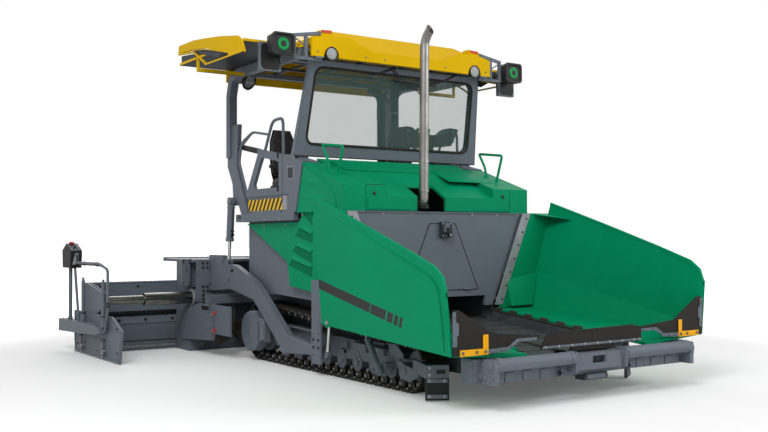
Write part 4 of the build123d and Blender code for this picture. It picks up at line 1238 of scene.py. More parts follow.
# operator's stand
stand = {
    "outer": 1270,
    "rail": 1250,
    "hoopRadius": 17,
    "tailRadius": 15,
    "badge": ((63, 2092), (205, 2098), (214, 2240), (72, 2236)),
    "sleeveRadius": 35,
}
for piece in both("standTrim", "tractor", "grey_paint", "black_plastic", "pale_steel", "dark_paint"):
    outer, rail = stand["outer"], stand["rail"]
    hoop = [(rail, y, z) for y, z in ((335, 2375), (350, 2800), (600, 2790), (790, 2455))]
    tail = [(rail, y, z) for y, z in ((690, 2640), (1105, 2707), (1400, 2604), (1470, 2373), (1236, 1946))]
    piece.tube(hoop, stand["hoopRadius"], 18, 0, 80)
    piece.tube(tail, stand["tailRadius"], 16, 0, 60)
    # seams of the gate and of the front console, with the gate's two hinges
    piece.box((outer - 3, outer + 0.8), (323, 331), (1932, 2400), 1)
    piece.box((outer - 3, outer + 0.8), (190, 1225), (1922, 1931), 1)
    for z in (2383, 2006):
        piece.box((outer, outer + 4), (418, 456), (z - 36, z + 36), 3)
        piece.turned((outer + 5, 437, z - 30), (0, 0, 1), [(0, 9), (60, 9)], 14, 1)
        piece.bolts([(outer + 4, 448, z - 20), (outer + 4, 448, z + 20)], (1, 0, 0), 5, 2)
    # blank plate on the front console
    frame = stand["badge"]
    piece.plate(frame, "x", outer, outer + 4, 2)
    middle = [sum(spot[k] for spot in frame) / 4 for k in (0, 1)]
    piece.plate(
        [tuple(middle[k] + (spot[k] - middle[k]) * 0.84 for k in (0, 1)) for spot in frame], "x",
        outer + 3, outer + 5.5, 3
    )
    # sill box: bright end plate, catches and the gate's ledge
    piece.plate([(216, 1757), (319, 1760), (319, 1922), (222, 1920)], "x", outer, outer + 2.5, 2)
    piece.box((outer - 2, outer + 8), (331, 1190), (1912, 1922), 0)
    piece.bolts([(outer, 350, 1748), (outer, 1110, 1748)], (1, 0, 0), 8, 1)
    # window edge and the padded arm behind the gate
    low, high = Vector((1202, 1000, 2468)), Vector((1202, 1560, 2575))
    piece.tube(
        [low, low.lerp(high, 0.03), low.lerp(high, 0.97), high],
        lambda t: stand["sleeveRadius"] * (1 if 0 < t < 1 else 0.8), 22, 1
    )
    piece.turned(tuple(low), tuple(low - high), [(0, 30), (36, 30)], 18, 0)
    piece.box((outer - 44, outer + 2), (905, 950), (2436, 2488), 0)
    # small lamp over the side beam's front end
    piece.box((1180, 1268), (76, 150), (1652, 1724), 3)
    piece.bolts([(outer, y, 1660) for y in (400, 760, 1120, 1320)], (1, 0, 0), 8, 2)
    piece.done(2)

# grip plates of the floor, each with rows of raised bars
deck = Piece("platformTrim", "tractor", "dark_paint", "pale_steel")
for column in range(7):
    for row in range(8):
        x, y = -900 + column * 300, 200 + row * 150
        if abs(abs(x) - 870) < 150 and 620 < y < 940:
            continue
        deck.box((x - 138, x + 138), (y - 66, y + 66), (1669, 1673))
        for bar in range(8):
            left = x - 126 + bar * 32
            lean = 8 if bar % 2 else -8
            gripBar(deck, left, y, 54, 12, 3, 1672, lean, 0)
deck.bolts([(x, 1524, 1690) for x in (-1150, -700, -250, 250, 700, 1150)], (0, 1, 0), 9, 1)
deck.done(0)

duct = {"near": 743, "far": 955, "y": 1310}
ducts = Piece("ductSkin", "tractor", "dark_paint", "pale_steel", "black_plastic")
ducts.tube(
    [(duct["near"], duct["y"], 1671), (duct["near"], duct["y"], 3340), (560, duct["y"], 3400)], 58, 36,
    0, 120
)
ducts.tube([(duct["far"], duct["y"], 1671), (duct["far"], duct["y"], 3519)], 58, 36, 0)
for x, z in (
    (duct["near"], 1690), (duct["far"], 1690), (duct["near"], 2500), (duct["far"], 2500),
    (duct["far"], 3090)
):
    ducts.turned((x, duct["y"], z), (0, 0, 1), [(0, 58), (0, 63), (30, 63), (30, 58)], 36, 1)
    ducts.box((x - 16, x + 16), (1234, 1250), (z + 2, z + 28), 1)
for fold in range(7):
    ducts.turned(
        (duct["near"], duct["y"], 3010 + fold * 22), (0, 0, 1), [(0, 58), (6, 64), (14, 64), (20, 58)],
        36, 2
    )
ducts.done(0)
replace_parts(bpy.data.objects["ductSkin"], "extraction_ducts")
print("operator's stand")

# operating desk
desk = Piece(
    "deskTrim", "operator_console", "black_plastic", "dark_paint", "pale_steel", "rubber", "red_plastic"
)
# key panel between the two raised ends
desk.plate([(606, 2698), (894, 2698), (890, 2706), (610, 2706)], "y", 206, 414, 0)
for column in range(6):
    for row in range(4):
        x, y = 622 + column * 44, 226 + row * 44
        desk.box((x, x + 30), (y, y + 30), (2705, 2712), 2 if (column + row) % 5 == 0 else 1)
for x in (668, 838):
    desk.turned(
        (x, 386, 2704), (0, 0.1, 1),
        [(0, 24), (12, 22), (18, 8), (62, 7), (70, 16), (90, 18), (102, 12), (106, 3)], 20, 3
    )
desk.turned(
    (760, 392, 2704), (0, 0, 1), [(0, 20), (8, 20), (9, 12), (20, 12), (24, 22), (32, 20), (36, 8)], 24,
    4
)
# sloping displays on the raised ends
for low, high in (((256, 2763), (414, 2788)), ((1050, 2804), (1148, 2797))):
    desk.plate([low, high, (high[0] - 3, high[1] + 9), (low[0] + 3, low[1] + 9)], "y", 222, 398, 0)
    inner = [
        (low[0] + 14, low[1] + 11), (high[0] - 14, high[1] + 8), (high[0] - 15, high[1] + 11),
        (low[0] + 15, low[1] + 13)
    ]
    desk.plate(inner, "y", 240, 380, 1)
# face of the desk: seams and latches
for x in (470, 760, 1010):
    desk.box((x - 2, x + 2), (197, 201), (2590, 2690), 0)
desk.bolts(
    [
        (x, 200, z) for x,
        z in ((380, 2600), (380, 2740), (560, 2600), (940, 2600), (1080, 2640), (1080, 2760))
    ],
    (0, -1, 0), 8, 2
)
desk.tube([(560, 424, 2570), (560, 448, 2570), (760, 448, 2570), (760, 424, 2570)], 9, 12, 2, 18)
desk.bolts([(600, 140, 2182), (700, 140, 2182)], (0, 1, 0), 9, 2)
desk.done(2)

# seats
seat = {"x": 870, "half": 226, "swell": 0.012, "voxel": 0.006, "frames": 20, "pressure": 4.0}


def groove(distance, width=9):
    return math.exp(-(distance / width) ** 2)


def cushion(name, body, side, rings, seams):
    # stuffed pad: a closed form blown up by a short cloth run, then its seams pulled in
    piece = Piece(name, body, "fabric", side=side)
    piece.skin(rings, 0, True)
    made = piece.done(0)
    remesh = made.modifiers.new("remesh", "REMESH")
    remesh.mode = "VOXEL"
    remesh.voxel_size = seat["voxel"]
    ready = bpy.context.evaluated_depsgraph_get()
    made.data = bpy.data.meshes.new_from_object(made.evaluated_get(ready))
    made.modifiers.clear()
    cloth = made.modifiers.new("cloth", "CLOTH")
    cloth.settings.use_pressure = True
    cloth.settings.uniform_pressure_force = seat["pressure"]
    cloth.settings.effector_weights.gravity = 0
    for moment in range(1, seat["frames"] + 1):
        scene.frame_set(moment)
    ready = bpy.context.evaluated_depsgraph_get()
    grown = [vert.co.copy() for vert in made.evaluated_get(ready).data.vertices]
    made.modifiers.clear()
    for vert, spot in zip(made.data.vertices, grown):
        move = spot - vert.co
        vert.co += move * min(1, seat["swell"] / max(move.length, 1e-6))
    scene.frame_set(1)
    for vert in made.data.vertices:
        spot = (abs(vert.co.x) * 1000 - seat["x"], vert.co.y * 1000 - shift, vert.co.z * 1000)
        for seam in seams:
            vert.co += Vector(seam(*spot)) / 1000
    divide = made.modifiers.new("soften", "SUBSURF")
    divide.levels = 1
    divide.render_levels = 1
    made.data.shade_smooth()


for word, sign in sides.items():
    middle, half = seat["x"], seat["half"]
    body = "seat_" + word

    def pan(width, low, high, y):
        return [
            (middle - width, y, low), (middle + width, y, low), (middle + width, y, high - 24),
            (middle + width * 0.84, y, high), (middle + width * 0.5, y, high - 16),
            (middle - width * 0.5, y, high - 16), (middle - width * 0.84, y, high),
            (middle - width, y, high - 24)
        ]

    def rest(width, z, front, depth):
        return [
            (middle - width, front, z), (middle - width * 0.62, front + 14, z),
            (middle + width * 0.62, front + 14, z), (middle + width, front, z),
            (middle + width * 0.94, front + depth, z), (middle - width * 0.94, front + depth, z)
        ]

    cushion("seatCushion_" + word, body, sign, [
        pan(half * 0.84, 2072, 2130, 540), pan(half * 0.94, 2064, 2152, 580),
        pan(half * 0.95, 2064, 2152, 820), pan(half * 0.88, 2064, 2140, 975)
    ], [
        lambda x, y, z: (0, 0, -9 * groove(abs(x) - 118) if z > 2100 else 0),
        lambda x, y, z: (
            0, 0, -8 * (groove(y - 680) + groove(y - 810)) if z > 2100 and abs(x) < 118 else 0
        ),
    ])
    cushion("seatBack_" + word, body, sign, [
        rest(130, 2176, 1000, 48), rest(168, 2230, 990, 66), rest(174, 2440, 1008, 66),
        rest(166, 2610, 1024, 62), rest(128, 2700, 1036, 54), rest(110, 2742, 1046, 44)
    ], [
        lambda x, y, z: (0, 9 * groove(abs(x) - 104) if y < 1045 and z < 2640 else 0, 0),
        lambda x, y, z: (
            0, 8 * (groove(z - 2350) + groove(z - 2490)) if y < 1050 and abs(x) < 104 else 0, 0
        ),
        lambda x, y, z: (0, 6 * groove(z - 2640) if y < 1060 else 0, 0),
    ])
    base = Piece("seatBase_" + word, body, "black_plastic", "dark_paint", "pale_steel", "rubber", side=sign)
    # floor ring, bellows, slide rails and pan
    base.turned((middle, 780, 1671), (0, 0, 1), [(0, 110), (14, 110), (18, 92), (60, 92)], 32, 1)
    folds = [(60, 88)]
    for fold in range(7):
        folds += [(68 + fold * 36, 109), (82 + fold * 36, 109), (92 + fold * 36, 90)]
    base.turned((middle, 780, 1671), (0, 0, 1), folds + [(330, 108), (340, 108)], 32, 3)
    base.box((middle - 150, middle + 150), (600, 980), (2010, 2026), 1)
    for x in (-140, 140):
        base.box((middle + x - 14, middle + x + 14), (570, 1010), (2026, 2042), 2)
    base.box((middle - 196, middle + 196), (560, 1010), (2040, 2066), 0)
    base.skin(
        [
            [
                (middle - width, y - 10, z), (middle + width, y - 10, z),
                (middle + width * 0.9, y + 12, z), (middle - width * 0.9, y + 12, z)
            ] for width,
            z,
            y in (
                (140, 2100, 1040), (168, 2230, 1058), (176, 2440, 1080), (166, 2610, 1092),
                (122, 2748, 1098)
            )
        ],
        0, True
    )
    for x in (-196, 196):
        base.skin(
            [
                [
                    (middle + x - 22, 740, 2272), (middle + x + 22, 740, 2272),
                    (middle + x + 22, 740, 2292), (middle + x - 22, 740, 2292)
                ],
                [
                    (middle + x - 24, 780, 2262), (middle + x + 24, 780, 2262),
                    (middle + x + 24, 780, 2304), (middle + x - 24, 780, 2304)
                ],
                [
                    (middle + x - 24, 1000, 2280), (middle + x + 24, 1000, 2280),
                    (middle + x + 24, 1000, 2318), (middle + x - 24, 1000, 2318)
                ]
            ],
            3, False
        )
        base.tube([(middle + x, 980, 2298), (middle + x * 0.86, 1060, 2296)], 14, 12, 1)
    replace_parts(base.done(4), "seat_" + word)
print("seats")


# windscreen
screen = {"foot": (54, 2489), "head": (-111, 3324), "low": 1144, "high": 1104, "bend": 110, "gasket": 13}
rise = math.hypot(screen["head"][0] - screen["foot"][0], screen["head"][1] - screen["foot"][1])
lean = math.atan2(screen["foot"][0] - screen["head"][0], screen["head"][1] - screen["foot"][1])


def onScreen(x, up, out=0):
    # a place in the leaning pane: across, up along it, and forward of it
    y = screen["foot"][0] - up * math.sin(lean) - out * math.cos(lean)
    return (x, y, screen["foot"][1] + up * math.cos(lean) - out * math.sin(lean))


pane = Piece("windscreenTrim", "tractor", "rubber", "grey_paint", "pale_steel", "black_plastic")
low, high = screen["low"], screen["high"]
for out in (31, -31):
    ring = [
        onScreen(0, 0, out), onScreen(low, 0, out), onScreen(high, rise, out),
        onScreen(-high, rise, out), onScreen(-low, 0, out), onScreen(0, 0, out)
    ]
    pane.tube(ring, screen["gasket"], 12, 0, screen["bend"], True)
# folded edges of the frame and its bolts
for s in (-1, 1):
    edge = [onScreen(s * 1284, -138, 32), onScreen(s * 1180, rise + 76, 32)]
    pane.tube(edge, 5, 8, 1)
    pane.bolts(
        [onScreen(s * (1212 - 40 * share), rise * share, 31) for share in (0.04, 0.34, 0.66, 0.96)],
        onScreen(0, 0, 1000), 7, 1
    )
    pane.plate([(88, 2290), (112, 2296), (108, 2392), (92, 2392)], "x", *span(s, 1222, 1232), 1)
pane.tube([onScreen(-1270, -136, 31), onScreen(1270, -136, 31)], 6, 8, 0)
# wipers: linked arms with their blades
for arm in (
    [(-53, -158, 3405), (-266, -148, 3323)],
    [(898, -158, 3433), (664, -150, 3317), (456, -140, 3250)],
):
    pane.tube(arm, 13, 10, 3)
for rodPath in (
    [(-138, -158, 3404), (17, -148, 3252), (330, -122, 3143)],
    [(-100, -158, 3404), (60, -148, 3262), (350, -124, 3160)],
):
    pane.tube(rodPath, 6, 8, 3)
pane.skin(
    [
        [(-53, -150, 3262), (538, -150, 3237), (538, -132, 3233), (-53, -132, 3258)],
        [(-53, -150, 3278), (538, -150, 3253), (538, -136, 3257), (-53, -136, 3282)]
    ],
    3, False
)
for x in (-75, 898):
    pane.turned((x, -160, 3410 + (x > 0) * 22), (0, -0.98, -0.2), [(-8, 26), (16, 26), (22, 18)], 20, 3)
pane.done(1.5)
print("windscreen")

# roof
roof = {"lampX": 1005, "lampZ": 3440, "lampRadius": 78}
cover = Piece(
    "roofTrim", "tractor", "yellow_paint", "dark_paint", "pale_steel", "red_plastic", "grey_paint"
)
for s in (-1, 1):
    # marker light in its raised pocket
    cover.skin(
        [
            [
                (s * 960, -286, 3600), (s * 1124, -286, 3590), (s * 1124, -110, 3590),
                (s * 960, -110, 3600)
            ],
            [
                (s * 968, -240, 3714), (s * 1112, -240, 3700), (s * 1112, -120, 3700),
                (s * 968, -120, 3714)
            ]
        ],
        0, False
    )
    cover.box(span(s, 980, 1096), (-262, -238), (3672, 3700), 3)
    # arch rims round the lamps and the folded lower edge
    arc = [
        (s * roof["lampX"] + 97 * math.cos(a), -303, 3420 + 97 * math.sin(a))
        for a in [math.pi * k / 16 for k in range(17)]
    ]
    cover.tube(arc, 6, 10, 0)
    cover.bolts([(s * 560, -303, 3450), (s * 300, -303, 3446), (s * 1180, -303, 3450)], (0, -1, 0), 6, 4)
cover.tube([(-905, -302, 3404), (905, -302, 3404)], 5, 8, 0)
# lower lip seen beneath the front, and the cross ribs under the cover
cover.box((-1180, 1180), (-268, -240), (3400, 3418), 4)
for y in (40, 560, 1040, 1700):
    cover.box((-1140, 1140), (y - 24, y + 24), (3470, 3500), 1)
for x in (-760, -300, 300, 760):
    cover.box((x - 22, x + 22), (-30, 1760), (3484, 3506), 1)
cover.done(3)
front = Piece("roofLamps", "tractor", "lens_pale", "pale_steel", "black_plastic")
for s in (-1, 1):
    centre = (s * roof["lampX"], -250, roof["lampZ"])
    front.turned(
        centre, (0, -1, 0),
        [(0, 40), (10, 66), (46, roof["lampRadius"]), (62, roof["lampRadius"]), (62, 68), (56, 66)], 36,
        2
    )
    front.turned(centre, (0, -1, 0), [(50, 67), (62, 60), (68, 40), (70, 1)], 36, 0)
    for column in range(-2, 3):
        for row in range(-2, 3):
            if abs(column) + abs(row) < 4:
                front.turned(
                    (centre[0] + column * 22, -250, centre[2] + row * 22), (0, -1, 0),
                    [(60, 7), (72, 6), (74, 3)], 10, 1
                )
    # oval work lamp under the roof on the rear post
    spot, ahead = (s * 1080, 1560, 3392), (-0.35 * s, -0.78, -0.42)
    front.turned(spot, ahead, [(-40, 40), (-34, 84), (0, 108), (26, 108), (26, 94), (18, 92)], 32, 2)
    front.turned(spot, ahead, [(16, 92), (22, 60), (24, 1)], 32, 1)
    for column in (-46, 0, 46):
        front.turned(
            (spot[0] + column * 0.9, spot[1] - 18 - column * 0.3 * s, spot[2] - 10), ahead,
            [(14, 20), (22, 20), (26, 14)], 18, 0
        )
    front.tube([(s * 1104, 1586, 3420), (s * 1168, 1640, 3440)], 16, 12, 2)
front.done(1)

lamp = {"x": (1478, 1742), "z": (3360, 3600), "ring": 69, "hole": 27}
for piece in both("cornerLamp", "tractor", "black_plastic", "lens_green", "lens_pale", "dark_paint"):
    x0, x1 = lamp["x"]
    z0, z1 = lamp["z"]
    cut = 26

    def outline(inset):
        a, b, c, d = x0 + inset, x1 - inset, z0 + inset, z1 - inset
        return [
            (a + cut, c), (b - cut, c), (b, c + cut), (b, d - cut), (b - cut, d), (a + cut, d),
            (a, d - cut), (a, c + cut)
        ]

    rings = []
    for inset, y in ((30, -176), (10, -190), (6, -300), (0, -306), (0, -340), (22, -340), (30, -322)):
        rings.append([(x, y, z) for x, z in outline(inset)])
    piece.skin(rings, 0, False)
    middle = ((x0 + x1) / 2, -323, (z0 + z1) / 2)
    piece.turned(
        middle, (0, -1, 0),
        [
            (-1, lamp["hole"]), (-1, lamp["ring"]), (9, lamp["ring"] - 3), (11, lamp["ring"] - 12),
            (11, lamp["hole"] + 8), (8, lamp["hole"])
        ],
        40, 1
    )
    piece.turned(middle, (0, -1, 0), [(7, lamp["hole"] + 9), (13, lamp["hole"] + 4), (14, 1)], 24, 0)
    for index in range(5):
        piece.box((x0 + 40, x1 - 40), (-186, -178), (z0 + 46 + index * 36, z0 + 60 + index * 36), 3)
    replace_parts(piece.done(4), *(["corner_lamps"] if piece.side > 0 else []))
for piece in both("mirrorSkin", "tractor", "black_plastic", "chrome", "grey_paint"):
    # mirror housing under the lamp, its glass facing the driver
    rings = []
    for y, inset in ((-138, 26), (-134, 8), (-100, 0), (-84, 4)):
        a, b, c, d = 1532 + inset, 1788 - inset, 3217 + inset, 3518 - inset
        rings.append(
            [
                (a + 30, y, c), (b - 30, y, c), (b, y, c + 40), (b, y, d - 30), (b - 30, y, d),
                (a + 30, y, d), (a, y, d - 30), (a, y, c + 40)
            ]
        )
    piece.skin(rings, 0, True)
    piece.plate([(1562, 3246), (1760, 3246), (1764, 3490), (1558, 3490)], "y", -86, -81, 1)
    piece.tube([(1440, -250, 3352), (1500, -180, 3310), (1562, -110, 3284)], 13, 14, 2, 30)
    # bars and steps of the bracket
    piece.bolts(
        [
            (x, -266, z) for x,
            z in ((1140, 3660), (1296, 3380), (1296, 3628), (1442, 3370), (1442, 3590))
        ],
        (0, -1, 0), 8, 2
    )
    piece.tube([(1130, -250, 3384), (1297, -250, 3500), (1440, -250, 3586)], 8, 10, 2)
    piece.done(4)
print("roof and lamps")

# awnings
for piece in both(
    "awningTrim", "roof_extension_SIDE", "yellow_paint", "dark_paint", "grey_paint", "pale_steel"
):
    top = [(-50, 3416), (16, 3541), (113, 3607), (577, 3680), (965, 3725), (1293, 3757), (1712, 3761)]
    # rolled upper edge and its pressed line
    piece.tube([(1917, y + (8 if y < 0 else 0), z - 8) for y, z in top], 10, 12, 0)
    under = [(365, 3468), (965, 3600), (1292, 3640), (1668, 3660)]
    piece.tube([(1924, y, z) for y, z in under], 5, 8, 0)
    # dark crescent on the outer edge
    piece.plate(
        [(646, 3458), (960, 3534), (1292, 3610), (1640, 3652), (1300, 3638), (965, 3600), (500, 3492)],
        "x", 1906, 1912, 1
    )
    # dark strip behind the crescent
    piece.plate(
        [(30, 3534), (1700, 3534), (1700, 3640), (1290, 3604), (560, 3560), (113, 3560)], "x", 1896,
        1903, 1
    )
    # hooks under the cover
    for y in (1180, 1256):
        piece.bolts([(1320, y, 3404), (1600, y, 3404)], (0, 0, -1), 7, 3)
    piece.done(2)
print("awnings")


# hopper floor
bed = {"rearY": -950, "rearZ": 650, "slope": 0.095, "drop": 100, "plate": (40, 610)}


def bedZ(y):
    return bed["rearZ"] + bed["slope"] * (y - bed["rearY"]) - bed["drop"]


liner = Piece("conveyorTrim", "tractor", "dark_paint", "track_steel", "pale_steel")
for s in (-1, 1):
    # wear plates along the slats, the chain guard between them and its bolts
    low, high = bed["plate"]
    for index in range(9):
        front = -2880 + index * 212
        rear = front + 206
        liner.skin(
            [
                [
                    (s * x, y, bedZ(y) - depth) for x,
                    y in ((low, front), (high, front), (high, rear), (low, rear))
                ]
                for depth in (14, 5)
            ],
            0, False
        )
    liner.skin(
        [
            [
                (s * 612, y, bedZ(y) - 10), (s * 655, y, bedZ(y) - 10), (s * 690, y, bedZ(y) + 84),
                (s * 668, y, bedZ(y) + 92)
            ]
            for y in (-2900, -1000)
        ],
        0, False
    )
    liner.bolts([(s * 640, y, bedZ(y) + 12) for y in range(-2800, -1000, 260)], (0, 0, 1), 10, 2)
liner.skin(
    [
        [(-26, y, bedZ(y) - 14), (26, y, bedZ(y) - 14), (14, y, bedZ(y) + 16), (-14, y, bedZ(y) + 16)]
        for y in (-2900, -1000)
    ],
    1, False
)
liner.done(2)

# tow points
tow = {"post": 1312, "ram": (1270, -690), "bolts": {"y": (-530, -430), "z": (300, 380)}}
for piece in both("towTrim", "tractor", "grey_paint", "pale_steel", "chrome", "black_plastic"):
    post, ram = tow["post"], tow["ram"]
    piece.bolts([(post, y, z) for y in tow["bolts"]["y"] for z in tow["bolts"]["z"]], (1, 0, 0), 11, 3)
    piece.plate([(-562, 520), (-562, 640), (-400, 640), (-400, 575), (-470, 520)], "x", post, post + 5, 0)
    # levelling ram: barrel bands, rod and its eye
    piece.turned((*ram, 640), (0, 0, 1), [(0, 36), (0, 40), (26, 40), (26, 36)], 28, 0)
    piece.turned((*ram, 960), (0, 0, 1), [(0, 36), (0, 41), (36, 41), (40, 30)], 28, 0)
    piece.tube([(*ram, 566), (ram[0], -652, 262)], 19, 18, 2)
    piece.turned((1251, -650, 240), (1, 0, 0), [(0, 35), (38, 35)], 24, 0)
    piece.tube([(1289, -716, 940), (1312, -728, 900), (1312, -730, 700), (1293, -716, 640)], 9, 10, 3, 30)
    piece.done(2)

# tow arms
arm = {"face": 1280, "flange": (1216, 1284), "thick": 12, "proud": 2}
arms = Piece("armTrim", "screed", "grey_paint", "pale_steel", "dark_paint", "black_plastic")
for s in (-1, 1):
    face = arm["face"]
    # welded top flange and the pin's cap at the front
    ridge = [(179, 376), (853, 859), (1033, 951), (1516, 1112), (1880, 1127)]
    for (y0, z0), (y1, z1) in zip(ridge, ridge[1:]):
        inner, outer = (s * x for x in arm["flange"])
        arms.skin(
            [
                [
                    (inner, y, z - arm["thick"]), (outer, y, z - arm["thick"]),
                    (outer, y, z + arm["proud"]), (inner, y, z + arm["proud"])
                ] for y,
                z in ((y0, z0), (y1, z1))
            ],
            0, False
        )
    arms.turned((s * 1280, -440, 253), (s, 0, 0), [(0, 44), (8, 44), (10, 34)], 28, 0)
    arms.bolts(
        [(s * 1290, -440 + 28 * math.cos(a), 253 + 28 * math.sin(a)) for a in (0.5, 2.6, 4.7)],
        (s, 0, 0), 7, 1
    )
    arms.bolts([(s * face, y, z) for y, z in ((1700, 930), (2240, 1060), (2240, 860))], (s, 0, 0), 9, 2)
    # bolted plates between the arm and the screed
    arms.box(span(s, 1284, 1462), (2256, 2283.5), (802, 1158), 0)
    arms.box(span(s, 1290, 1462), (2244, 2256), (632, 802), 0)
    for x in (1320, 1379):
        arms.bolts([(s * x, 2256, z) for z in (1129, 1071, 830)], (0, -1, 0), 13, 2)
        arms.bolts([(s * x, 2244, z) for z in (775, 722, 669)], (0, -1, 0), 13, 2)
    arms.box(span(s, 1206, 1222), (1976, 2250), (664, 800), 0)
    arms.bolts([(s * 1222, y, z) for y in (2030, 2110) for z in (765, 728, 690)], (s, 0, 0), 9, 2)
    # plate over the arm's end with its two holes, and the valve beside it
    for y in (1960, 2200):
        arms.turned((s * 1279.5, y, 1190), (s, 0, 0), [(0, 24), (4, 24), (4, 15), (0, 15)], 24, 1)
    arms.turned((s * 1281, 1596, 1050), (s, 0, 0), [(0, 20), (16, 20), (18, 12)], 20, 3)
arms.done(2)

# lift cylinders
lift = {"top": (1250, 1690, 1900), "eye": (1250, 1760, 1160), "rod": 20.4}
top, eye = Vector(lift["top"]), Vector(lift["eye"])
down = (eye - top).normalized()
lifts = Piece("liftTrim", "lift_barrels", "grey_paint", "pale_steel", "black_plastic")
rods = Piece("liftRodSkin", "lift_rods", "chrome", "grey_paint")
for s in (-1, 1):
    def at(spot, s=s):
        return (spot.x * s, spot.y, spot.z)

    line = (down.x * s, down.y, down.z)
    lifts.turned(at(top + down * 452), line, [(0, 45), (2, 51), (40, 51), (43, 30)], 32, 0)
    lifts.turned(at(top + down * 60), line, [(0, 45), (2, 49), (22, 49), (24, 45)], 32, 0)
    lifts.turned((s * 1214, 1690, 1900), (s, 0, 0), [(0, 51), (72, 51), (74, 40)], 32, 0)
    lifts.bolts([(s * 1288, 1690, 1900)], (s, 0, 0), 16, 1)
    # hose port and its pipe along the barrel
    lifts.turned(
        at(top + down * 420 + Vector((0, -42, 0))), (0, -1, 0.1),
        [(0, 17), (26, 17), (26, 22), (40, 22), (44, 14)], 18, 2
    )
    lifts.turned(
        at(top + down * 372 + Vector((0, -42, 0))), (0, -1, 0.1),
        [(0, 15), (22, 15), (22, 20), (36, 20), (40, 12)], 18, 2
    )
    lifts.tube(
        [
            at(top + down * 372 + Vector((0, -70, 0))), at(top + down * 300 + Vector((0, -74, 0))),
            at(top + down * 110 + Vector((0, -62, 0)))
        ],
        9, 12, 2, 40
    )
    rods.tube([at(top + down * 300), at(eye - down * 20)], lift["rod"], 32, 0)
    rods.turned((s * 1229.8, 1760, 1160), (s, 0, 0), [(0, 31), (40.4, 31)], 28, 1)
lifts.done(2)
rods.done(0)
fold = {"foot": (1256, -1584, 163), "head": (1212, -1275, 510), "rod": 17.3}
foot, head = Vector(fold["foot"]), Vector(fold["head"])
line = (head - foot).normalized()
for piece in both("wingBarrelTrim", "wing_barrel_SIDE", "grey_paint", "pale_steel", "black_plastic"):
    piece.turned(tuple(foot + line * 352), tuple(line), [(0, 31), (1, 36), (46, 36), (48, 24)], 26, 0)
    piece.turned(tuple(foot + line * 52), tuple(line), [(0, 31), (1, 34), (18, 34), (19, 31)], 26, 0)
    port = foot + line * 320
    piece.turned(tuple(port), (0.2, -1, 0.6), [(26, 10), (44, 10), (44, 14), (54, 14)], 14, 2)
    piece.done(1.5)
for piece in both("wingRodSkin", "wing_rod_SIDE", "chrome", "grey_paint"):
    piece.tube([tuple(foot + line * 80), tuple(head - line * 12)], fold["rod"], 28, 0)
    piece.turned((1200.8, -1275, 510), (1, 0, 0), [(0, 27), (22.4, 27)], 26, 1)
    piece.done(0)
print("arms and cylinders")

# screed
slide = {"y": 2364, "z": 690, "tube": 50.4}
main = Piece("screedTrim", "screed", "grey_paint", "pale_steel", "dark_paint", "black_plastic", "rubber")
# walkway of grip plate with toe boards
for column in range(7):
    for row in range(4):
        x, y = -1275 + column * 425, 2420 + row * 245
        main.box((x - 204, x + 204), (y - 116, y + 116), (1170, 1174), 1)
        for bar in range(9):
            left = x - 182 + bar * 41
            sway = 8 if bar % 2 else -8
            gripBar(main, left, y, 98, 14, 4, 1173, sway, 1)
main.box((-1490, 1490), (3322, 3330), (1168, 1190), 0)
for s in (-1, 1):
    # front box beside the arm: lid edge, feet, its lifting hook
    main.box(span(s, 1486, 1596), (2412, 2478), (842, 1166), 0)
    main.box(span(s, 1466, 1600), (2404, 2482), (1166, 1180), 1)
    for x in (1500, 1590):
        main.box(span(s, x - 14, x + 6), (2400, 2406), (1150, 1178), 3)
    main.tube(
        [
            (s * 1540, 2408, 1090), (s * 1556, 2384, 1090), (s * 1550, 2384, 1040),
            (s * 1540, 2408, 1030)
        ],
        6, 10, 0, 12
    )
    main.bolts([(s * x, 2412, z) for x in (1500, 1580) for z in (880, 1130)], (0, -1, 0), 8, 2)
    # pale ring at the sleeve's mouth with its clamp
    main.turned(
        (s * 1486, slide["y"], slide["z"]), (s, 0, 0),
        [(0, 110), (12, 110), (16, 104), (16, 86), (0, 86), (0, 110)], 48, 1
    )
    main.turned(
        (s * 1380, slide["y"], slide["z"]), (s, 0, 0),
        [(0, 107), (0, 113), (40, 113), (40, 107), (0, 107)], 48, 0
    )
    main.box(span(s, 1440, 1480), (2350, 2378), (796, 824), 3)
    # front wall panels of the basic screed
    for x in (140, 560, 980):
        main.box(span(s, x, x + 380), (2404, 2411), (36, 300), 0)
        main.bolts(
            [(s * (x + 40), 2404, z) for z in (80, 260)] + [
                (s * (x + 340), 2404, z) for z in (80, 260)
            ],
            (0, -1, 0), 10, 1
        )
    # rear wall: doors, latches and the lower edge
    for x in (90, 540, 990):
        main.box(span(s, x, x + 420), (2855, 2863), (380, 1080), 0)
        main.box(span(s, x + 18, x + 402), (2861, 2866), (400, 1060), 0)
        main.box(span(s, x + 330, x + 372), (2864, 2868), (700, 740), 3)
    main.box(span(s, 4, 1488), (2858, 2867), (20, 60), 1)
main.done(2)

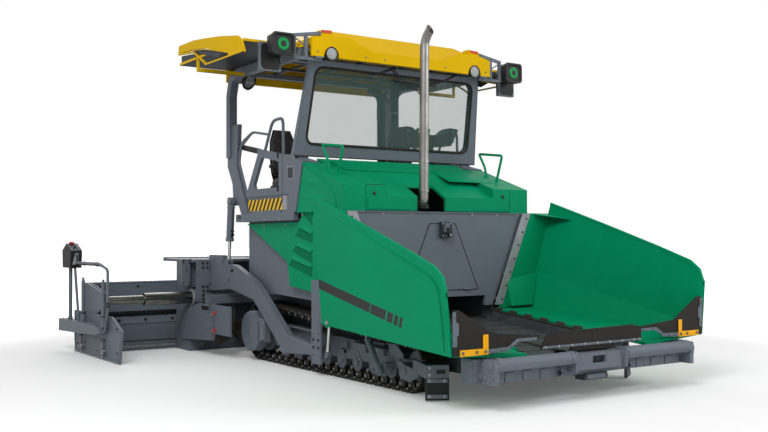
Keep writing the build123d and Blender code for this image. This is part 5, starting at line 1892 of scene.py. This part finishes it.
# hinged guard beside the auger with its red latches
for piece in both("guardTrim", "tractor", "grey_paint", "pale_steel", "red_plastic", "black_plastic"):
    outer = 1516
    piece.plate([(1640, 204), (1640, 630), (2064, 630), (2618, 506), (2618, 150)], "x", outer, outer + 3, 0)
    piece.plate([(1146, 292), (1146, 632), (1580, 632), (1580, 292)], "x", outer, outer + 3, 0)
    # turned edges, hand hole, hinges
    piece.box((outer, outer + 16), (1634, 1648), (204, 656), 0)
    piece.tube([(outer + 6, 1596, 210), (outer + 6, 1596, 650)], 8, 12, 0)
    piece.box((outer, outer + 20), (1140, 1152), (288, 640), 0)
    piece.box((outer + 2, outer + 5), (1720, 1980), (560, 612), 3)
    piece.tube(
        [
            (outer + 4, 1716, 640), (outer + 18, 1716, 628), (outer + 18, 1716, 552),
            (outer + 4, 1716, 540)
        ],
        6, 10, 0, 8
    )
    for z in (538, 327):
        piece.box((outer + 2, outer + 22), (1590, 1640), (z - 26, z + 4), 2)
        piece.tube(
            [
                (outer + 14, 1612, z - 20), (outer + 20, 1596, z + 16), (outer + 20, 1540, z + 20),
                (outer + 14, 1516, z)
            ],
            7, 10, 2, 12
        )
        piece.turned((outer + 2, 1626, z - 12), (1, 0, 0), [(0, 14), (22, 14), (24, 8)], 16, 1)
        piece.tube([(outer + 4, 1650, z + 2), (outer + 9, 1700, z + 2), (outer + 4, 1860, z + 2)], 4, 8, 0)
    piece.done(1.5)

# augers: smooth flights over their shaft
auger = {
    "y": 1900, "z": 370, "radius": 240, "pitch": 320, "inner": 80, "outer": 1380, "shaft": 50,
    "steps": 48
}
for piece in both("augerSkin", "auger_SIDE", "track_steel", "pale_steel"):
    turns = int((auger["outer"] - auger["inner"] - 60) / auger["pitch"] * 16) / 16
    count = int(turns * auger["steps"])
    rings = []
    for index in range(count + 1):
        angle = 2 * math.pi * index / auger["steps"]
        x = auger["inner"] + 20 + index * auger["pitch"] / auger["steps"]
        ring = []
        for radius, thick in (
            (auger["shaft"] - 8, 0), (auger["radius"] - 22, 1), (auger["radius"], 4),
            (auger["radius"], 12), (auger["radius"] - 22, 15), (auger["shaft"] - 8, 16)
        ):
            ring.append(
                (
                    x + thick, auger["y"] + radius * math.cos(angle),
                    auger["z"] + radius * math.sin(angle)
                )
            )
        rings.append(ring)
    piece.skin(rings, 0, True)
    piece.turned(
        (auger["inner"], auger["y"], auger["z"]), (1, 0, 0),
        [(0, auger["shaft"]), (auger["outer"] - auger["inner"], auger["shaft"])], 40, 0
    )
    for x in (auger["inner"], auger["outer"] - 46):
        piece.turned((x, auger["y"], auger["z"]), (1, 0, 0), [(0, 60), (46, 60)], 36, 1)
    piece.done(0)
    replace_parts(bpy.data.objects[piece.name], piece.name.replace("augerSkin", "auger"))
print("screed and augers")

# screed extensions
extension = {"x": (1170, 2655), "front": 2880}
for piece in both(
    "extensionTrim", "screed_extension_SIDE", "grey_paint", "pale_steel", "dark_chrome", "black_plastic"
):
    low, high = extension["x"]
    front = extension["front"]
    # inner guide tube and its collar at the bracket
    piece.turned(
        (1700, slide["y"], slide["z"]), (1, 0, 0), [(0, slide["tube"]), (926, slide["tube"])], 48, 2
    )
    piece.turned((2620, slide["y"], slide["z"]), (1, 0, 0), [(0, 50), (2, 64), (24, 68)], 48, 0)
    # seams, rib and skid of the front wall
    piece.box((low, high), (front - 7, front + 1), (40, 66), 1)
    piece.box((low, high), (front - 5, front + 1), (118, 128), 3)
    piece.plate([(front, 350), (front + 14, 396), (front + 18, 396), (front + 16, 340)], "x", low, high, 0)
    piece.box((low, high), (front + 4, front + 12), (872, 885), 0)
    piece.box((low, high), (front + 6, front + 11), (500, 512), 3)
    piece.bolts([(x, front + 17, 388) for x in (1532, 1900, 2250, 2560)], (0, -1, 0), 16, 3)
    piece.bolts([(x, front + 10, 828) for x in (1320, 2005, 2500)], (0, -1, 0), 12, 3)
    # lock knobs on the sole box
    for x in (1601, 2075):
        piece.turned(
            (x, front + 60, 438), (0, 0, 1), [(0, 16), (14, 16), (16, 26), (28, 26), (32, 18)], 20, 3
        )
    # edge of the end bracket and its gusset
    piece.plate([(2264, 600), (2264, 790), (2290, 800), (2290, 610)], "x", 2622, 2661, 0)
    piece.skin(
        [
            [(2630, 2300, 792), (2612, 2300, 792), (2612, 2870, 884), (2630, 2870, 884)],
            [(2630, 2300, 800), (2612, 2300, 800), (2612, 2870, 892), (2630, 2870, 892)]
        ],
        0, False
    )
    piece.bolts(
        [(2630, y, z) for y, z in ((2330, 620), (2420, 620), (2600, 600), (2800, 560))], (-1, 0, 0), 9,
        1
    )
    piece.done(2)

ending = {"face": 2680, "spindle": 2718, "box": 2728}
for piece in both(
    "endTrim", "screed_extension_SIDE", "grey_paint", "pale_steel", "black_plastic", "red_plastic",
    "dark_paint", "chrome"
):
    face, spindle, boxX = ending["face"], ending["spindle"], ending["box"]
    # raised rim of the end plate and its skid
    rim = [(1640, 22), (1556, 388), (1904, 524), (3330, 524), (3330, 277), (3300, 22)]
    for start, end in zip(rim, rim[1:] + rim[:1]):
        if start[1] > 500 and end[1] > 500:
            continue
        piece.tube([(face, *start), (face, *end)], 11, 10, 0)
    piece.box((2656, 2700), (1628, 3302), (0.5, 16), 1)
    piece.box((face, face + 4), (2120, 2940), (60, 240), 0)
    piece.bolts(
        [
            (face, y, z) for y,
            z in ((1700, 120), (1700, 400), (2400, 90), (2700, 90), (3200, 110), (3260, 240))
        ],
        (1, 0, 0), 10, 4
    )
    # two spindles with springs, collars and cranks
    for y in (2115, 2945):
        piece.turned((spindle, y, 34), (0, 0, 1), [(0, 13), (214, 13)], 20, 1)
        rings = []
        for z in (56, 128, 226):
            piece.turned((spindle, y, z), (0, 0, 1), [(0, 24), (18, 24), (20, 18)], 20, 0)
        coil = []
        for index in range(80):
            angle = 2 * math.pi * index / 12
            coil.append((spindle + 20 * math.cos(angle), y + 20 * math.sin(angle), 146 + index * 0.98))
        piece.tube(coil, 3.2, 6, 1)
        piece.tube([(spindle, y, 120), (spindle, y - 100, 128)], 8, 10, 1)
        piece.box((2684, 2722), (y - 34, y + 34), (70, 86), 0)
        # guide tubes above the beam
        piece.turned(
            (2742, y - 100 if y < 2500 else y - 158, 404), (0, 0, 1),
            [(0, 30), (120, 30), (124, 23), (520, 23), (522, 16), (560, 14)], 24, 0
        )
        piece.turned(
            (2742, y - 100 if y < 2500 else y - 158, 516), (0, 0, 1),
            [(0, 31), (0, 34), (20, 34), (20, 31)], 24, 4
        )
    # end beam: flanges, bolts, cap
    piece.plate([(2188, 413), (3650, 398), (3650, 404), (2188, 419)], "x", 2684, 2800, 0)
    piece.bolts([(2785, y, 420) for y in (2300, 3500)], (0, 0, 1), 8, 4)
    piece.box((2684, 2796), (3640, 3649), (256, 392), 4)
    # handrail, smooth, with its clamps
    rail = [(1990, 350), (1890, 620), (1890, 1080), (2197, 1145), (3190, 1140), (3000, 380)]
    piece.tube([(2730, y, z) for y, z in rail], 17, 18, 0, 60)
    piece.turned((2730, 1890, 640), (0, 0, 1), [(0, 26), (60, 26)], 18, 4)
    piece.turned((2740, 3330, 400), (0, 0, 1), [(0, 23), (0, 32), (40, 32), (40, 24), (680, 24)], 20, 0)
    # operator's box: rounded black case, pale holder, keys and the red knob
    case = [
        (3146, 1072), (3122, 1250), (3130, 1296), (3330, 1384), (3500, 1298), (3508, 1250), (3486, 1072)
    ]
    piece.plate(case, "x", 2655, 2700, 2)
    piece.plate(case, "x", 2716, 2796, 2)
    piece.skin(
        [
            [(2700, 3120, 1120), (2740, 3120, 1120), (2740, 3120, 1260), (2700, 3120, 1260)],
            [(2712, 3144, 1110), (2780, 3144, 1110), (2780, 3144, 1240), (2712, 3144, 1240)]
        ],
        1, False
    )
    piece.turned(
        (boxX, 3330, 1362), (0, 0, 1), [(0, 16), (16, 16), (18, 34), (34, 34), (42, 22), (44, 1)], 26, 3
    )
    for index, y in enumerate((3210, 3270, 3390, 3440)):
        piece.turned(
            (boxX, y, 1330 if y < 3300 else 1326), (0, 0, 1), [(-10, 12), (14, 12), (18, 8)], 16,
            5 if index % 2 else 2
        )
    piece.box((2764, 2799), (3230, 3400), (1150, 1166), 4)
    for row in range(3):
        for column in range(4):
            piece.box(
                (2794, 2799.5), (3220 + column * 46, 3250 + column * 46),
                (1180 + row * 36, 1202 + row * 36), 1 if row == column else 4
            )
    piece.tube(
        [(boxX, 3134, 1230), (boxX, 3092, 1236), (boxX, 3088, 1120), (boxX, 3134, 1110)], 9, 12, 2, 20
    )
    piece.turned((boxX, 3220, 1090), (0, 0, -1), [(0, 20), (24, 20), (26, 12)], 20, 3)
    # hose clipped along the handrail
    piece.tube(
        [
            (2718, 3150, 1100), (2708, 3040, 1118), (2706, 2700, 1120), (2706, 2300, 1122),
            (2708, 2010, 1092), (2712, 1916, 1010), (2716, 1912, 700), (2712, 1990, 470),
            (2712, 2050, 420)
        ],
        9, 12, 2, 60
    )
    for y in (2300, 2800):
        piece.turned((2722, y - 8, 1136), (0, 1, 0), [(0, 28), (16, 28)], 16, 4)
    piece.done(2)
print("screed extensions")

# closing
print("all pieces are on")
